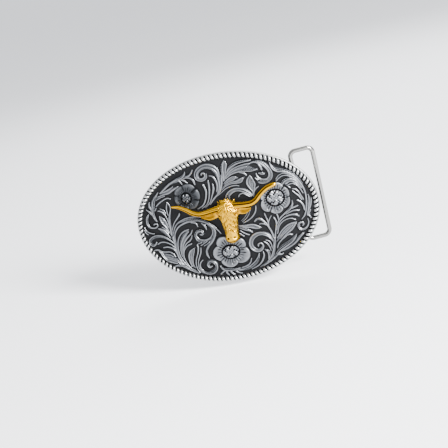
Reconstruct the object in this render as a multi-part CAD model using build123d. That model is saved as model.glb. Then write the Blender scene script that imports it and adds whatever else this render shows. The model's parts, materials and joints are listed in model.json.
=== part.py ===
from build123d import *
from math import atan2, degrees, hypot, sqrt
import os

# A western dress buckle: a bent oval plate with a rope edge, soldered scroll overlays, three flowers
# and a riveted longhorn emblem. A swinging bail and a fixed hook on the back hold the strap.
# Millimetres. X runs along the plate, Z is up, and the face looks towards -Y.
# The origin is the centre of the plate's rear face.

# Plate
plate_length = 98.0
plate_height = 69.0
plate_thickness = 2.0
bend_radius = 220.0  # of the rear face, about a line parallel to Z

# Rope edge, soldered just inside the rim
rim_land = 0.3
rope_width = 2.8
rope_height = 2.0

# Scroll overlays and flowers, drawn for a plate of 98 x 69 and scaled with it
drawn_length = 98.0
drawn_height = 69.0
overlay_height = 1.2
field_gap = 0.25  # between the rope and the overlays
ring_groove = 0.5  # width of the dark ring round a flower's eye
groove_floor = 0.4  # metal left under that ring
eye_rise = 0.5

# Longhorn emblem
emblem_x = 2.5
emblem_standoff = 1.6  # back of the head above the plate's front face
boss_length = 3.2  # half sizes of the boss that meets the plate
boss_height = 5.0
rivet_radius = 0.8
rivet_spacing = 6.0
rivet_head_radius = 1.6
rivet_head_height = 0.7
rivet_depth = 2.5  # into the emblem

# Bail: a closed wire loop that turns in a sleeve
wire_diameter = 2.4
bail_inner_width = 45.0  # clear height between its arms, for a strap of 38 to 40
bail_reach = 12.0  # hinge axis to the axis of the far bar
bail_corner = 3.0  # bend radius of the wire's axis
bail_rest_angle = 18.0  # back from +X
bail_rise = 1.9  # the loop rests this far up its sleeve
hinge_x = 38.4
hinge_clearance = 0.08  # radial, wire in sleeve
sleeve_wall = 1.2
sleeve_length = 26.0
saddle_depth = 1.4  # least thickness of metal between plate and sleeve
saddle_width = 4.6

# Hook for the strap's holes
hook_x = -27.0
hook_radius = 1.9
hook_length = 8.0  # plate to tip
hook_collar_radius = 2.6
hook_collar_length = 2.2  # plate to the top of the collar
hook_neck_radius = 1.7
hook_neck_length = 0.3  # undercut between the collar and the straight pin
hook_tilt = 12.0  # from +Y, towards the end of the plate
hook_dome = 1.2
hook_pad_radius = 4.2
hook_pad_thickness = 1.2

# Derived sizes
half_length = plate_length / 2
half_height = plate_height / 2
front_radius = bend_radius + plate_thickness
field_inset = rim_land + rope_width + field_gap
scale_x = plate_length / drawn_length
scale_z = plate_height / drawn_height
wire_radius = wire_diameter / 2
bail_half_height = bail_inner_width / 2 + wire_radius
sleeve_bore = wire_radius + hinge_clearance
sleeve_radius = sleeve_bore + sleeve_wall
tall = 2 * plate_height  # taller than everything that is cut with it


def rear_y(x):
    return bend_radius - sqrt(bend_radius ** 2 - x ** 2)


def front_y(x):
    return bend_radius - sqrt(front_radius ** 2 - x ** 2)


hinge_y = rear_y(hinge_x) + saddle_depth + sleeve_radius

# Overlays. Each stroke is a tapered ribbon: x, z and half width at the points it runs through.
overlays = {
    "volute_top": [
        [(1.9, 22, 0.35), (1.9, 25.2, 0.55), (0.2, 28, 0.6), (-2.6, 29.5, 0.55), (-5.6, 29.6, 0.4),
         (-8.6, 28.3, 0.35), (-10.6, 25.8, 0.3), (-10.5, 23.1, 0.3), (-8.6, 21.6, 0.3),
         (-6.2, 21.7, 0.3), (-4.6, 23.1, 0.3), (-4.5, 24.9, 0.25)],
        [(1.2, 20.5, 0.6), (0.9, 24, 0.7), (-1.1, 26.8, 0.75), (-4.2, 28, 0.75), (-7.3, 27.3, 0.75),
         (-9.3, 25.3, 0.7), (-9, 23.3, 0.6), (-7, 22.7, 0.55), (-5.5, 23.7, 0.5), (-5.6, 25.2, 0.5),
         (-6.8, 25.5, 0.5), (-7.1, 24.8, 0.45)],
        [(-3.2, 23.5, 0.35), (-1.8, 23, 0.5), (-0.8, 21.5, 0.6), (-0.2, 19.3, 0.55), (-0.4, 17, 0.5),
         (-1.2, 14.8, 0.4)],
        [(-1, 13.5, 0.35), (0.7, 16, 0.45), (1.1, 18.5, 0.5), (1.2, 20.8, 0.5)],
    ],
    "fingers_top": [
        [(-13.3, 7.3, 0.35), (-9.8, 9, 0.5), (-7.7, 12.2, 0.6), (-6.7, 16, 0.65), (-7.4, 19.4, 0.6)],
        [(-11, 7.2, 0.3), (-7.8, 9, 0.4), (-5.8, 12.6, 0.45), (-4.7, 17, 0.6), (-4.4, 21, 0.45)],
        [(-9, 7.4, 0.3), (-6.2, 9.4, 0.4), (-4.2, 12.8, 0.45), (-2.6, 16.2, 0.7), (-2.5, 19, 0.35)],
    ],
    "leaf_top": [
        [(-6, 8.6, 0.4), (-3.8, 10.9, 0.65), (-1.6, 12.6, 0.6), (0.4, 14.3, 0.45), (2, 17.5, 0.6),
         (2.7, 20.5, 0.6), (2.9, 22.6, 0.4)],
        [(3.6, 19.5, 0.4), (3.9, 22.5, 0.75), (4.2, 25.5, 0.85), (4.9, 28, 0.75), (5.9, 29.4, 0.35)],
        [(4.3, 20.5, 0.3), (5.4, 23.5, 0.4), (6.3, 26.2, 0.5), (6.8, 27.6, 0.5), (6.4, 29.2, 0.35)],
        [(6, 23.2, 0.35), (8.3, 25.8, 0.8), (11.3, 27.1, 1), (14.5, 27.5, 0.9), (17.3, 27.4, 0.7),
         (19.2, 27.2, 0.45)],
        [(3.9, 19.6, 0.3), (6.3, 22.5, 0.4), (9.3, 24.5, 0.4), (13, 25.5, 0.35), (17, 25.8, 0.45),
         (18.3, 25.6, 0.4)],
        [(7, 22.2, 0.3), (10.2, 23.7, 0.35), (13.5, 24.4, 0.3), (16.8, 24.4, 0.3)],
        [(5, 20.4, 0.35), (8, 22, 0.5), (11.5, 22.6, 0.55), (15.5, 22.6, 0.9), (18.5, 22, 0.9),
         (21.2, 21.9, 0.5)],
        [(12.5, 22.2, 0.4), (14.6, 21.3, 0.55), (15.8, 20, 0.35)],
        [(3.6, 18.2, 0.3), (6, 19.8, 0.35), (8.5, 20.6, 0.35), (10.2, 20.2, 0.4)],
        [(10.1, 19.9, 0.4), (8.5, 18.9, 0.35), (6, 18.5, 0.35), (3.8, 17.5, 0.3)],
        [(3.2, 16.6, 0.3), (6.5, 17.9, 0.3), (10, 18, 0.35), (12.5, 18.8, 0.4), (13.5, 18.9, 0.45)],
        [(13.6, 18.6, 0.45), (12.5, 17.2, 0.45), (10.5, 16.9, 0.35), (7, 17.1, 0.3), (4, 16.4, 0.3),
         (1.5, 15, 0.3)],
        [(-2.5, 11.8, 0.3), (0.5, 13.3, 0.35), (3.5, 15.1, 0.4), (6.5, 15.9, 0.4), (9, 15.9, 0.4),
         (10.7, 15.3, 0.3)],
    ],
    "arch_over_head": [
        [(2.2, 9, 0.35), (3, 11.4, 0.4), (5.2, 13.5, 0.45), (8.5, 14.3, 0.45), (11.8, 13.4, 0.45),
         (14.5, 11.3, 0.4), (16.6, 9, 0.3)],
        [(4.1, 8.8, 0.35), (4.6, 10.8, 0.45), (6.4, 12.4, 0.5), (8.8, 13, 0.4), (11.3, 12.3, 0.4),
         (13.6, 10.8, 0.4), (15.8, 8.9, 0.3)],
        [(9.3, 9.7, 0.4), (10.2, 10.8, 0.45), (11.8, 11.1, 0.5), (13.3, 10.1, 0.5), (14.9, 8.7, 0.4)],
    ],
    "lancet_leaf": [
        [(17.3, 19.4, 0.35), (15.6, 17.6, 0.5), (15.1, 15.6, 0.55), (15.8, 13.4, 0.5), (17, 11, 0.4),
         (17.2, 9.2, 0.3)],
        [(17.6, 19, 0.3), (18.4, 16.9, 0.35), (18.9, 14.6, 0.4), (18.3, 12.6, 0.5), (17.6, 10.6, 0.45),
         (17.1, 9, 0.3)],
        [(17.1, 17.6, 0.2), (16.5, 15.6, 0.25), (16.8, 13.2, 0.2)],
        [(17.9, 16.4, 0.2), (17.6, 14.4, 0.25), (17.4, 12.6, 0.2)],
        [(20.3, 12.9, 0.35), (19, 12.1, 0.5), (18, 11, 0.4)],
    ],
    "crest_right": [
        [(19.3, 25.9, 0.4), (21.5, 25.9, 0.75), (24, 24.3, 0.7), (26, 22.2, 0.65), (27.2, 19.6, 0.6),
         (27, 17.3, 0.55), (25.5, 15.9, 0.6), (23.4, 15.9, 0.8), (21.6, 17, 0.8), (20.9, 18.6, 0.6),
         (20.8, 19.8, 0.4)],
        [(22.2, 26.2, 0.25), (24.8, 25, 0.3), (27.1, 22.5, 0.3), (28.5, 19.5, 0.3), (28.5, 17, 0.3),
         (27.2, 15, 0.35), (25, 14.1, 0.4), (22.8, 14.1, 0.4), (21.2, 14.8, 0.35)],
        [(22.9, 24.2, 0.5), (23.8, 22.6, 0.65), (24, 21.2, 0.55)],
        [(22.3, 19.7, 0.6), (23.5, 19.3, 0.95), (24.5, 18.9, 0.7)],
        [(19.8, 17.6, 0.35), (20.8, 16.3, 0.4)],
    ],
    "acanthus_right": [
        [(28.6, 23.8, 0.25), (29.4, 21, 0.75), (31.2, 19.1, 1), (34, 18.1, 0.8), (36.8, 16.5, 0.6),
         (39.2, 14, 0.6), (41.2, 10.8, 0.6), (42.5, 7.2, 0.55), (42.9, 3.5, 0.5), (42.5, -0.5, 0.6),
         (41.6, -4, 0.55), (40.2, -7, 0.5), (38.3, -8.8, 0.3)],
        [(29.9, 14.7, 0.3), (31.5, 16.2, 0.3), (33.8, 16.9, 0.3), (36.2, 16, 0.3), (38, 14.6, 0.25)],
        [(29.8, 13.7, 0.35), (31.6, 15, 0.35), (33.8, 15.7, 0.35), (36.3, 15, 0.35), (38.8, 13.2, 0.4),
         (40.6, 10.6, 0.4)],
        [(32.4, 11.5, 0.75), (33.8, 13, 1), (36.3, 13.4, 0.75), (38.8, 12.2, 0.5), (40.6, 9.8, 0.4),
         (41.6, 7.4, 0.35)],
        [(34.4, 11.3, 0.6), (36.5, 11.9, 0.3), (38.6, 11, 0.3), (40.4, 8.9, 0.3)],
        [(34.9, 10.2, 0.5), (37, 10.7, 0.35), (39, 9.8, 0.35), (40.6, 7.6, 0.35), (41.7, 4.6, 0.35)],
        [(35.3, 9.5, 0.35), (36, 8.8, 0.4)],
        [(37, 7.9, 0.4), (38.4, 7.3, 0.4), (39.7, 5.6, 0.45), (40.5, 3.2, 0.45), (41.3, 1.2, 0.35)],
        [(36.9, 6.7, 0.35), (38, 5.2, 0.4), (39.4, 3.4, 0.45), (40.4, 1.3, 0.4)],
        [(38.1, 1.6, 0.45), (39.6, 0.2, 0.55), (40.6, -1.8, 0.6), (40.7, -4.2, 0.5)],
        [(44.1, 3, 0.25), (44, 0.5, 0.4), (43.4, -2, 0.5), (42.5, -4.8, 0.55), (41.5, -7.2, 0.45)],
        [(45.2, 0.8, 0.3), (44.7, -1.2, 0.4), (43.9, -3, 0.45), (42.8, -4.6, 0.45)],
        [(43.5, -5.2, 0.4), (42.7, -6.2, 0.5), (41.9, -7.4, 0.4)],
        [(43, -9.2, 0.3), (42.6, -8.1, 0.5), (41.7, -7.3, 0.4)],
    ],
    "volute_right": [
        [(41.3, -9.2, 0.25), (41.3, -11.4, 0.4), (40, -13.4, 0.6), (37.9, -14.2, 0.75),
         (36.2, -13.2, 0.75), (35.9, -11.4, 0.75), (37, -10.3, 0.65), (38.4, -10.6, 0.65),
         (38.7, -11.6, 0.5), (38, -12.2, 0.35)],
    ],
    "tree_right": [
        [(14, -28.9, 0.3), (17.5, -27.3, 0.5), (20.5, -25.6, 0.7), (22.8, -23.3, 1.1), (25, -21.8, 1.1),
         (28, -20.5, 1), (31, -19.1, 0.8), (33, -17.5, 0.6), (33.7, -16.4, 0.3)],
        [(24.5, -23, 0.4), (28, -22.2, 0.4), (31.5, -20.9, 0.45), (34, -19.1, 0.6), (35.8, -17.3, 0.75),
         (37.2, -16.4, 0.6)],
        [(22.5, -24.2, 0.8), (24, -24.8, 0.6), (24.9, -24.6, 0.4)],
        [(16.5, -27.2, 0.4), (19.1, -24.4, 0.45), (20.9, -21, 0.5), (21.9, -18, 0.75),
         (22.5, -15.6, 0.8)],
        [(21.7, -17.6, 0.4), (20.7, -14.6, 0.45), (18.8, -12.4, 0.5), (16, -11.1, 0.5),
         (13, -11.3, 0.5), (10.3, -13.3, 0.5), (9.2, -16.3, 0.5), (10, -19.2, 0.5), (12.3, -20.8, 0.5),
         (14.8, -20.4, 0.5), (16, -18.5, 0.5), (15.2, -16.7, 0.5), (13.7, -17, 0.5), (13.4, -18, 0.4)],
        [(21.2, -16.4, 0.35), (19.4, -14, 0.35), (16.6, -12.4, 0.35), (13.8, -12.6, 0.35),
         (11.4, -14.4, 0.35), (10.6, -17, 0.35), (11.5, -19, 0.3), (12.6, -19.6, 0.25)],
        [(22.3, -15.5, 0.5), (21.8, -12, 0.55), (20.7, -8.6, 0.55), (19.3, -6, 0.6), (17.7, -4.1, 0.75),
         (16, -3.7, 0.75), (14.5, -4.7, 0.45)],
        [(20.6, -8.6, 0.3), (19, -7.1, 0.4), (17.3, -6.5, 0.4), (16.6, -6.7, 0.3)],
        [(20.9, -9, 0.4), (21.2, -6.6, 0.45), (20.7, -3.8, 0.4), (20.3, -1.8, 0.35)],
        [(21.2, -6.8, 0.4), (22.2, -5, 0.35), (23.3, -3.7, 0.3)],
        [(22.8, -16, 0.5), (23.9, -12, 0.4), (25.1, -8.6, 0.5), (25.2, -6.4, 0.5), (24.5, -4.6, 0.35)],
        [(26.6, -6.8, 0.3), (26.7, -4.8, 0.45), (26.4, -3.6, 0.35)],
        [(25.6, -8.2, 0.3), (27.8, -5.6, 0.45), (30.5, -3.8, 0.6), (33.5, -2, 0.85), (35.2, 0, 0.6),
         (35.5, 2, 0.25)],
        [(34.3, -1.9, 0.6), (36, -1.6, 0.6), (37.6, -1.3, 0.5)],
        [(31, -4.4, 0.3), (34.5, -3.4, 0.5), (36.5, -3.5, 0.55), (37.8, -4, 0.4)],
        [(24.6, -11.5, 0.3), (26.6, -8.2, 0.35), (29.5, -6, 0.45), (33, -5.2, 0.5), (35.7, -5.7, 0.6),
         (37.2, -6.9, 0.35)],
        [(24.6, -13.5, 0.3), (26.2, -9.9, 0.35), (28.6, -7.8, 0.35), (31.5, -7, 0.35),
         (33.7, -7.4, 0.35), (35.1, -8.4, 0.3)],
        [(24, -15.8, 0.35), (27, -12.5, 0.4), (30.2, -10.4, 0.5), (33, -9.7, 0.5), (35.2, -9.8, 0.35)],
        [(25.2, -15.5, 0.2), (28.5, -12.6, 0.25), (31.8, -10.8, 0.25)],
        [(25.4, -16.4, 0.25), (29.3, -13.3, 0.3), (32.8, -11.2, 0.35)],
        [(26, -17, 0.35), (29.3, -14.6, 0.45), (32.2, -12.8, 0.7), (34.6, -10.6, 0.45)],
        [(28.5, -15.6, 0.4), (30.5, -15.2, 0.55), (31.8, -15.8, 0.4)],
        [(22.9, -21, 0.3), (24, -18.9, 0.4), (26, -17.2, 0.45), (28.5, -15.8, 0.45)],
        [(16.8, -16.3, 0.4), (18.2, -17.7, 0.35), (19.1, -19.8, 0.35), (19.3, -21.8, 0.3)],
        [(18, -15.7, 0.4), (19.4, -16.6, 0.35), (20.2, -18.6, 0.35), (20.2, -20.6, 0.3)],
        [(16.6, -20.6, 0.5), (17.8, -21.5, 0.85), (18, -23.6, 0.8), (17.3, -25.8, 0.5)],
    ],
    "swag_bottom": [
        [(15.2, -21.6, 0.35), (15.2, -23.6, 0.55), (13.7, -26.2, 0.55), (11.3, -28.2, 0.45),
         (7.5, -29.6, 0.3)],
        [(12.8, -22.2, 0.35), (12, -24.2, 0.85), (10, -26.2, 0.9), (7, -27.9, 0.9), (4, -28.8, 0.8),
         (1, -28.7, 0.5), (-0.2, -28.1, 0.3)],
        [(8.4, -24, 0.35), (7.4, -25.9, 0.45), (5.5, -27.2, 0.5), (2.5, -27.8, 0.4)],
        [(-8.8, -25, 0.3), (-7.6, -26.6, 0.7), (-5.5, -27.5, 1.1), (-2.5, -27.9, 0.9), (1, -27.9, 0.5)],
        [(-9.4, -29.3, 0.45), (-8, -28.4, 0.5), (-6.5, -27.8, 0.5)],
        [(-5.2, -30.6, 0.35), (-6, -29.3, 0.6), (-6, -28.3, 0.6)],
        [(-2.2, -30.8, 0.3), (-3.4, -29.6, 0.6), (-3.8, -28.6, 0.6)],
        [(1.9, -30.8, 0.35), (0.2, -30.1, 0.45), (-1, -29.1, 0.5)],
    ],
    "volute_bottom": [
        [(-17.5, -20.3, 0.35), (-19, -21.8, 0.45), (-19.5, -24, 0.6), (-18.5, -26.3, 0.75),
         (-16, -27.8, 0.85), (-13.2, -27.9, 0.9), (-11.1, -26.3, 0.9), (-10.7, -23.9, 0.9),
         (-12, -22, 0.85), (-14, -22, 0.9), (-15, -23.4, 0.85), (-14.3, -24.7, 0.7),
         (-13.5, -24.4, 0.45)],
        [(-16.8, -13.6, 0.35), (-17.4, -16, 0.45), (-18.8, -18.6, 0.4), (-19.9, -20.8, 0.35),
         (-20.4, -24, 0.3), (-19.6, -26.4, 0.25)],
        [(-18.4, -11.8, 0.35), (-18.2, -13.6, 0.55), (-19.2, -16.4, 0.45), (-20.7, -19.3, 0.4),
         (-21.4, -22, 0.35), (-21.2, -25, 0.35), (-20.2, -26.8, 0.25)],
        [(-20.3, -13.3, 0.3), (-21.2, -15.6, 0.35), (-22.3, -18, 0.35), (-22.9, -20.6, 0.35),
         (-23, -23.2, 0.3)],
        [(-20.9, -13.4, 0.3), (-23, -14.6, 0.55), (-24.2, -17, 0.55), (-24.4, -20, 0.45),
         (-23.8, -22.8, 0.35)],
        [(-22.3, -15.8, 0.25), (-23.1, -18.3, 0.3), (-23.6, -20.8, 0.25)],
    ],
    "tree_left": [
        [(-21.3, -27, 0.3), (-24.6, -25, 0.45), (-27.9, -21.9, 0.5), (-29.8, -17.7, 0.45),
         (-30.4, -13, 0.45), (-30.3, -9, 0.5), (-30.4, -5.5, 0.6)],
        [(-22.8, -25.2, 0.3), (-25.8, -22.6, 0.3), (-28.2, -19, 0.35), (-29.1, -15, 0.35),
         (-28.9, -10.6, 0.35), (-27.7, -7, 0.4), (-25.6, -4.4, 0.4), (-23.2, -3.1, 0.45),
         (-21.2, -2.7, 0.35)],
        [(-28, -16.5, 0.3), (-27.7, -12.5, 0.35), (-26.3, -8.9, 0.45), (-24.4, -6.3, 0.55),
         (-22.6, -4.7, 0.5), (-21.4, -4, 0.3)],
        [(-27.3, -15, 0.3), (-26, -11, 0.4), (-24, -8.2, 0.55), (-22, -6.4, 0.55), (-20.2, -5.1, 0.45),
         (-19.1, -3.4, 0.3)],
        [(-26.6, -13.4, 0.3), (-24.2, -10.2, 0.4), (-21.9, -8.9, 0.5), (-20.5, -7.5, 0.4),
         (-19.9, -6.2, 0.3)],
        [(-21.4, -10.6, 0.5), (-23.6, -11.3, 0.45), (-25.8, -13.1, 0.45), (-26.9, -15.8, 0.4),
         (-26.8, -18.9, 0.4), (-25.7, -22, 0.4), (-24, -24.6, 0.3)],
        [(-42.3, -11.2, 0.35), (-40.6, -11.1, 0.6), (-39.2, -12.4, 0.75), (-38.3, -14.8, 0.9),
         (-36.8, -17.3, 0.8), (-34.3, -18.9, 0.6), (-31.8, -19.9, 0.5)],
        [(-38.6, -12.4, 0.5), (-36.5, -12.9, 0.45), (-34.2, -13.2, 0.45), (-32.6, -14.5, 0.4),
         (-31.6, -16.3, 0.35)],
        [(-36.7, -14.3, 0.3), (-34.4, -14.9, 0.25), (-32.8, -16.2, 0.25)],
        [(-37, -15.7, 0.3), (-34.8, -16.3, 0.25), (-33, -17.3, 0.25), (-31.2, -17.6, 0.4)],
        [(-36.3, -17, 0.25), (-34.4, -17.6, 0.3), (-32.5, -18.5, 0.4), (-30.5, -18.8, 0.5)],
        [(-33.8, -21.6, 0.35), (-31.5, -21.1, 0.7), (-29, -21.5, 0.9), (-27.2, -22.9, 0.7),
         (-25, -24.9, 0.4)],
        [(-31, -18.3, 0.6), (-30, -20, 0.9), (-28.6, -21.6, 0.7)],
        [(-37, -10.4, 0.4), (-34.8, -10.3, 0.5), (-32.7, -11.1, 0.5), (-31.2, -12.6, 0.45),
         (-30.6, -14.4, 0.35)],
        [(-30.6, -9, 0.4), (-32.4, -7, 0.5), (-34.8, -4.9, 0.7), (-37.8, -3.7, 0.75), (-41, -3.9, 0.85),
         (-43.4, -5.3, 0.85), (-44, -7.2, 0.85), (-42.6, -8.4, 0.85), (-41, -8, 0.65),
         (-40.2, -7, 0.45)],
        [(-39.7, -8.1, 0.4), (-37.5, -7.3, 0.45), (-34.8, -7.8, 0.45), (-32.4, -9.3, 0.4),
         (-30.8, -11.3, 0.35)],
        [(-37.2, 0.2, 0.4), (-35, -0.6, 0.65), (-33.3, -2.8, 0.55), (-32, -5.6, 0.4)],
        [(-35, 0.8, 0.35), (-33.4, -0.7, 0.35), (-32.1, -3, 0.35)],
        [(-34.9, 6.6, 0.4), (-34.9, 4.6, 0.45), (-34, 2.2, 0.45), (-32.7, 0, 0.4), (-31.8, -2.2, 0.35)],
        [(-34.2, 6.3, 0.3), (-33, 4.8, 0.45), (-32.1, 2.6, 0.4), (-31.6, 0.2, 0.35)],
        [(-35, 9.7, 0.4), (-33.4, 9.2, 0.55), (-31.9, 7.2, 0.45), (-31.1, 4.6, 0.35),
         (-30.9, 1.5, 0.35)],
        [(-33.6, 10.7, 0.35), (-32.1, 9.8, 0.45), (-31.1, 8, 0.35)],
        [(-30.9, -4, 0.55), (-30.6, 0.5, 0.5), (-30.2, 4, 0.45), (-29.2, 6.8, 0.4), (-28.1, 9.2, 0.4),
         (-27.9, 11.2, 0.35), (-28.8, 13.6, 0.35)],
        [(-30.1, 6.6, 0.3), (-30.2, 9.4, 0.4), (-29.7, 11.6, 0.45), (-29, 13.2, 0.35)],
        [(-29.9, -1.6, 0.3), (-28, 1.7, 0.35), (-25.8, 4, 0.4), (-24.2, 5.6, 0.55), (-23.7, 6.5, 0.5)],
    ],
    "arch_left": [
        [(-29.6, -3.4, 0.3), (-27.6, 0.2, 0.3), (-24.2, 2.5, 0.3), (-20.2, 3.6, 0.35),
         (-16.2, 3.6, 0.35), (-13, 2.8, 0.35)],
        [(-29.8, -8, 0.35), (-28.9, -4, 0.4), (-26.3, -0.7, 0.5), (-22.3, 1.1, 0.65),
         (-18.3, 1.7, 0.75), (-14.5, 1.5, 0.8), (-11.3, 0.3, 0.85), (-8.9, -1.8, 0.85), (-7.3, -4, 0.7),
         (-7, -6.8, 0.5), (-8.2, -9.3, 0.5), (-10.3, -11.7, 0.6), (-12.6, -13.6, 0.7), (-14, -16, 0.75),
         (-13.9, -18.6, 0.55), (-13.5, -19.7, 0.3)],
        [(-18.5, 0.9, 0.5), (-16.6, 0.3, 0.5), (-15.8, -0.8, 0.45), (-15.6, -2, 0.3)],
        [(-13.2, -0.5, 0.35), (-12.1, -1.6, 0.65), (-11.5, -2.9, 0.65), (-11.4, -4.2, 0.35)],
        [(-9, -1.5, 0.6), (-6.8, -3.6, 0.6), (-5.4, -5.6, 0.5), (-4.3, -7.6, 0.35)],
        [(-8.4, -4.6, 0.2), (-8.6, -6.6, 0.3), (-9.9, -8.5, 0.35), (-12, -9.6, 0.45),
         (-14.6, -9.8, 0.9), (-16.9, -8.9, 1.1), (-17.9, -6.7, 0.95), (-16.9, -4.7, 0.9),
         (-14.9, -4.2, 0.9), (-13.6, -5.4, 0.9), (-14.2, -6.6, 0.7), (-15.3, -6.4, 0.45)],
        [(-17.8, -11.2, 0.3), (-15.9, -10.9, 0.3)],
        [(-16.3, -12.3, 0.3), (-14.6, -11.5, 0.3), (-12.7, -10.7, 0.3)],
        [(-14.6, -12.8, 0.3), (-13, -12.1, 0.25), (-11.6, -11.2, 0.25)],
    ],
    "leaf_beside_muzzle": [
        [(6, -5.4, 0.6), (9, -5.9, 0.7), (12.5, -6, 0.5), (14.8, -7, 0.4), (16.7, -8.4, 0.3)],
        [(8, -6.5, 0.6), (11.5, -7.3, 0.55), (14.3, -8.5, 0.4), (16.3, -8.8, 0.3)],
        [(6.5, -6.6, 0.8), (9, -7.9, 0.9), (11, -9.1, 0.55), (12, -10.2, 0.35)],
        [(6, -8.2, 0.4), (7.6, -9.6, 0.4), (9, -10.6, 0.4), (10, -11.2, 0.35)],
        [(5.6, -9.6, 0.3), (6.4, -10.6, 0.35), (7.2, -11.3, 0.3)],
        [(16.8, 3, 0.4), (16, 0.4, 0.45), (14, -1.9, 0.45), (11.2, -3.5, 0.4), (8.6, -4.4, 0.3)],
        [(13.5, 1.6, 0.2), (12.2, -0.6, 0.25), (10.3, -2.5, 0.25), (8.2, -3.7, 0.25)],
        [(12.4, 1.4, 0.2), (11, -0.5, 0.2), (9.3, -2.1, 0.2), (7.8, -3, 0.2)],
    ],
    "leaf_upper_left": [
        [(-31.6, 18.8, 0.35), (-28.5, 20.8, 0.6), (-25, 23, 0.65), (-21, 24.6, 0.7), (-17.8, 25.4, 0.9),
         (-16, 26.6, 0.5), (-15.6, 27.6, 0.3)],
        [(-18.5, 24.4, 0.8), (-16, 25, 0.8), (-13.8, 25.5, 0.6), (-12.2, 26.7, 0.5),
         (-11.3, 28.1, 0.3)],
        [(-19.8, 24, 0.6), (-19, 22.9, 0.45), (-18.5, 21.7, 0.3)],
        [(-18, 24, 0.6), (-16.6, 23.1, 0.45), (-15.6, 21.9, 0.3)],
        [(-15.5, 24.6, 0.4), (-13.6, 24.2, 0.5), (-12.2, 22.9, 0.65), (-11.8, 21.5, 0.6),
         (-11.7, 20.4, 0.4)],
        [(-33, 17.3, 0.3), (-30, 17.8, 0.35), (-26.8, 18.3, 0.55), (-24, 19.6, 0.65),
         (-21.3, 20.7, 0.5)],
        [(-31.2, 18.9, 0.35), (-28.5, 19.4, 0.5), (-26, 20.2, 0.5), (-24.2, 20.9, 0.35)],
        [(-34.5, 15.6, 0.3), (-32, 16.5, 0.3), (-29.5, 17, 0.3)],
        [(-35.4, 12.3, 0.4), (-33.3, 13.8, 0.45), (-30.6, 15.1, 0.45), (-28.2, 15.7, 0.45),
         (-26.7, 15.1, 0.4)],
        [(-32.7, 19.3, 0.3), (-34.3, 17.5, 0.7), (-36.2, 15, 1.1), (-37.1, 12.5, 1.1), (-37.9, 10, 1),
         (-38, 7.5, 0.9), (-37.5, 5.4, 0.7), (-37.1, 4.5, 0.5)],
        [(-38.8, 14.8, 0.35), (-39.2, 13, 0.65), (-38.7, 11.3, 0.6)],
        [(-41.3, 11.1, 0.35), (-40.1, 10.1, 0.55), (-39, 8.4, 0.6)],
        [(-35.6, 11.4, 0.3), (-36.6, 10.2, 0.4)],
        [(-40.8, 8.4, 0.4), (-41.9, 6.9, 0.75), (-42.6, 4.6, 0.85), (-42.2, 2.4, 0.8),
         (-40.8, 1.2, 0.6), (-38.8, 0.9, 0.5), (-37.3, 1.7, 0.45), (-37.3, 2.8, 0.4), (-38.4, 3, 0.6),
         (-39.2, 2.7, 0.45)],
        [(-45, 1.8, 0.3), (-44.3, -0.1, 0.4), (-42.7, -1.4, 0.45), (-40.6, -2.2, 0.35)],
        [(-45.4, 0.3, 0.25), (-44.9, -1.2, 0.35), (-43.8, -2.3, 0.3)],
    ],
}

# Flowers: centre, eye half sizes, then each petal's tip (x, z) and half width.
flowers = {
    "flower_lower": [(-1.4, -18.2), (4.4, 3.4),
                     [(-11, -18, 4.2), (-4.5, -26.2, 4.6), (8.0, -22.4, 4.6), (6.8, -13.2, 4.0),
                      (-6.0, -9.8, 3.8)]],
    "flower_right": [(27.5, 5.4), (4.4, 4.1),
                     [(30.5, 12.8, 3.6), (34.8, 7.6, 3.8), (33.6, 0.6, 3.8), (26.5, -3.0, 3.8),
                      (20.2, 0.6, 3.8), (20.4, 8.2, 3.4)]],
    "flower_left": [(-18.0, 14.0), (2.4, 2.7),
                    [(-10.4, 16.0, 3.6), (-14.2, 21.0, 3.6), (-21.4, 20.4, 3.4), (-24.3, 14.8, 3.2),
                     (-20.4, 8.6, 3.0), (-12.6, 9.6, 3.4)]],
}

# Emblem. Head sections from poll to muzzle: z, half width, half depth. Horns and ears, measured from
# the emblem's middle: x, z, radius, and height of the centre line above the plate's front face.
head_sections = [(10.3, 2.6, 1.2), (8.6, 5.0, 2.3), (5.0, 6.1, 2.9), (1.5, 5.8, 3.1), (-4.0, 4.0, 2.8),
                 (-9.0, 3.8, 3.0), (-11.8, 3.5, 2.6), (-12.9, 2.2, 1.4)]
left_horn = [(-4.0, 6.3, 1.8, 4.2), (-8.5, 5.7, 1.7, 4.0), (-13.5, 5.2, 1.6, 3.6), (-17.7, 5.8, 1.45, 3.4),
             (-21.5, 8.4, 1.2, 3.4), (-25.5, 10.7, 0.9, 3.2), (-29.3, 11.2, 0.5, 3.0)]
right_horn = [(3.5, 6.4, 1.8, 4.2), (7.5, 6.1, 1.7, 4.0), (11.5, 5.8, 1.6, 3.6), (15.1, 6.6, 1.4, 3.4),
              (18.4, 9.4, 1.2, 3.4), (22.0, 11.9, 0.95, 3.3), (27.3, 12.8, 0.5, 3.1)]
left_ear = [(-4.0, 3.4, 1.2, 4.0), (-8.0, 3.1, 1.5, 3.6), (-12.0, 2.7, 1.3, 3.4), (-14.9, 3.1, 0.5, 3.0)]
right_ear = [(3.5, 3.4, 1.2, 4.0), (7.1, 3.1, 1.4, 3.6), (10.1, 2.8, 1.2, 3.4), (12.4, 3.1, 0.5, 3.0)]


def bent_shell(inner, outer):
    # The metal between two radii about the bend line, on the plate's side of it.
    line = Location((0, bend_radius, 0))
    ring = line * Cylinder(outer, tall) - line * Cylinder(inner, tall)
    front_half = Location((0, bend_radius - outer, 0)) * Box(2 * plate_length, bend_radius, tall)
    return ring & front_half


def slab(sketch):
    # A flat shape on XZ, carried through everything from behind the plate to well in front.
    return extrude(Location((0, plate_length / 4, 0)) * sketch, amount=plate_length / 2)


def on_front(sketch, height):
    return slab(sketch) & bent_shell(front_radius, front_radius + height)


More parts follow.
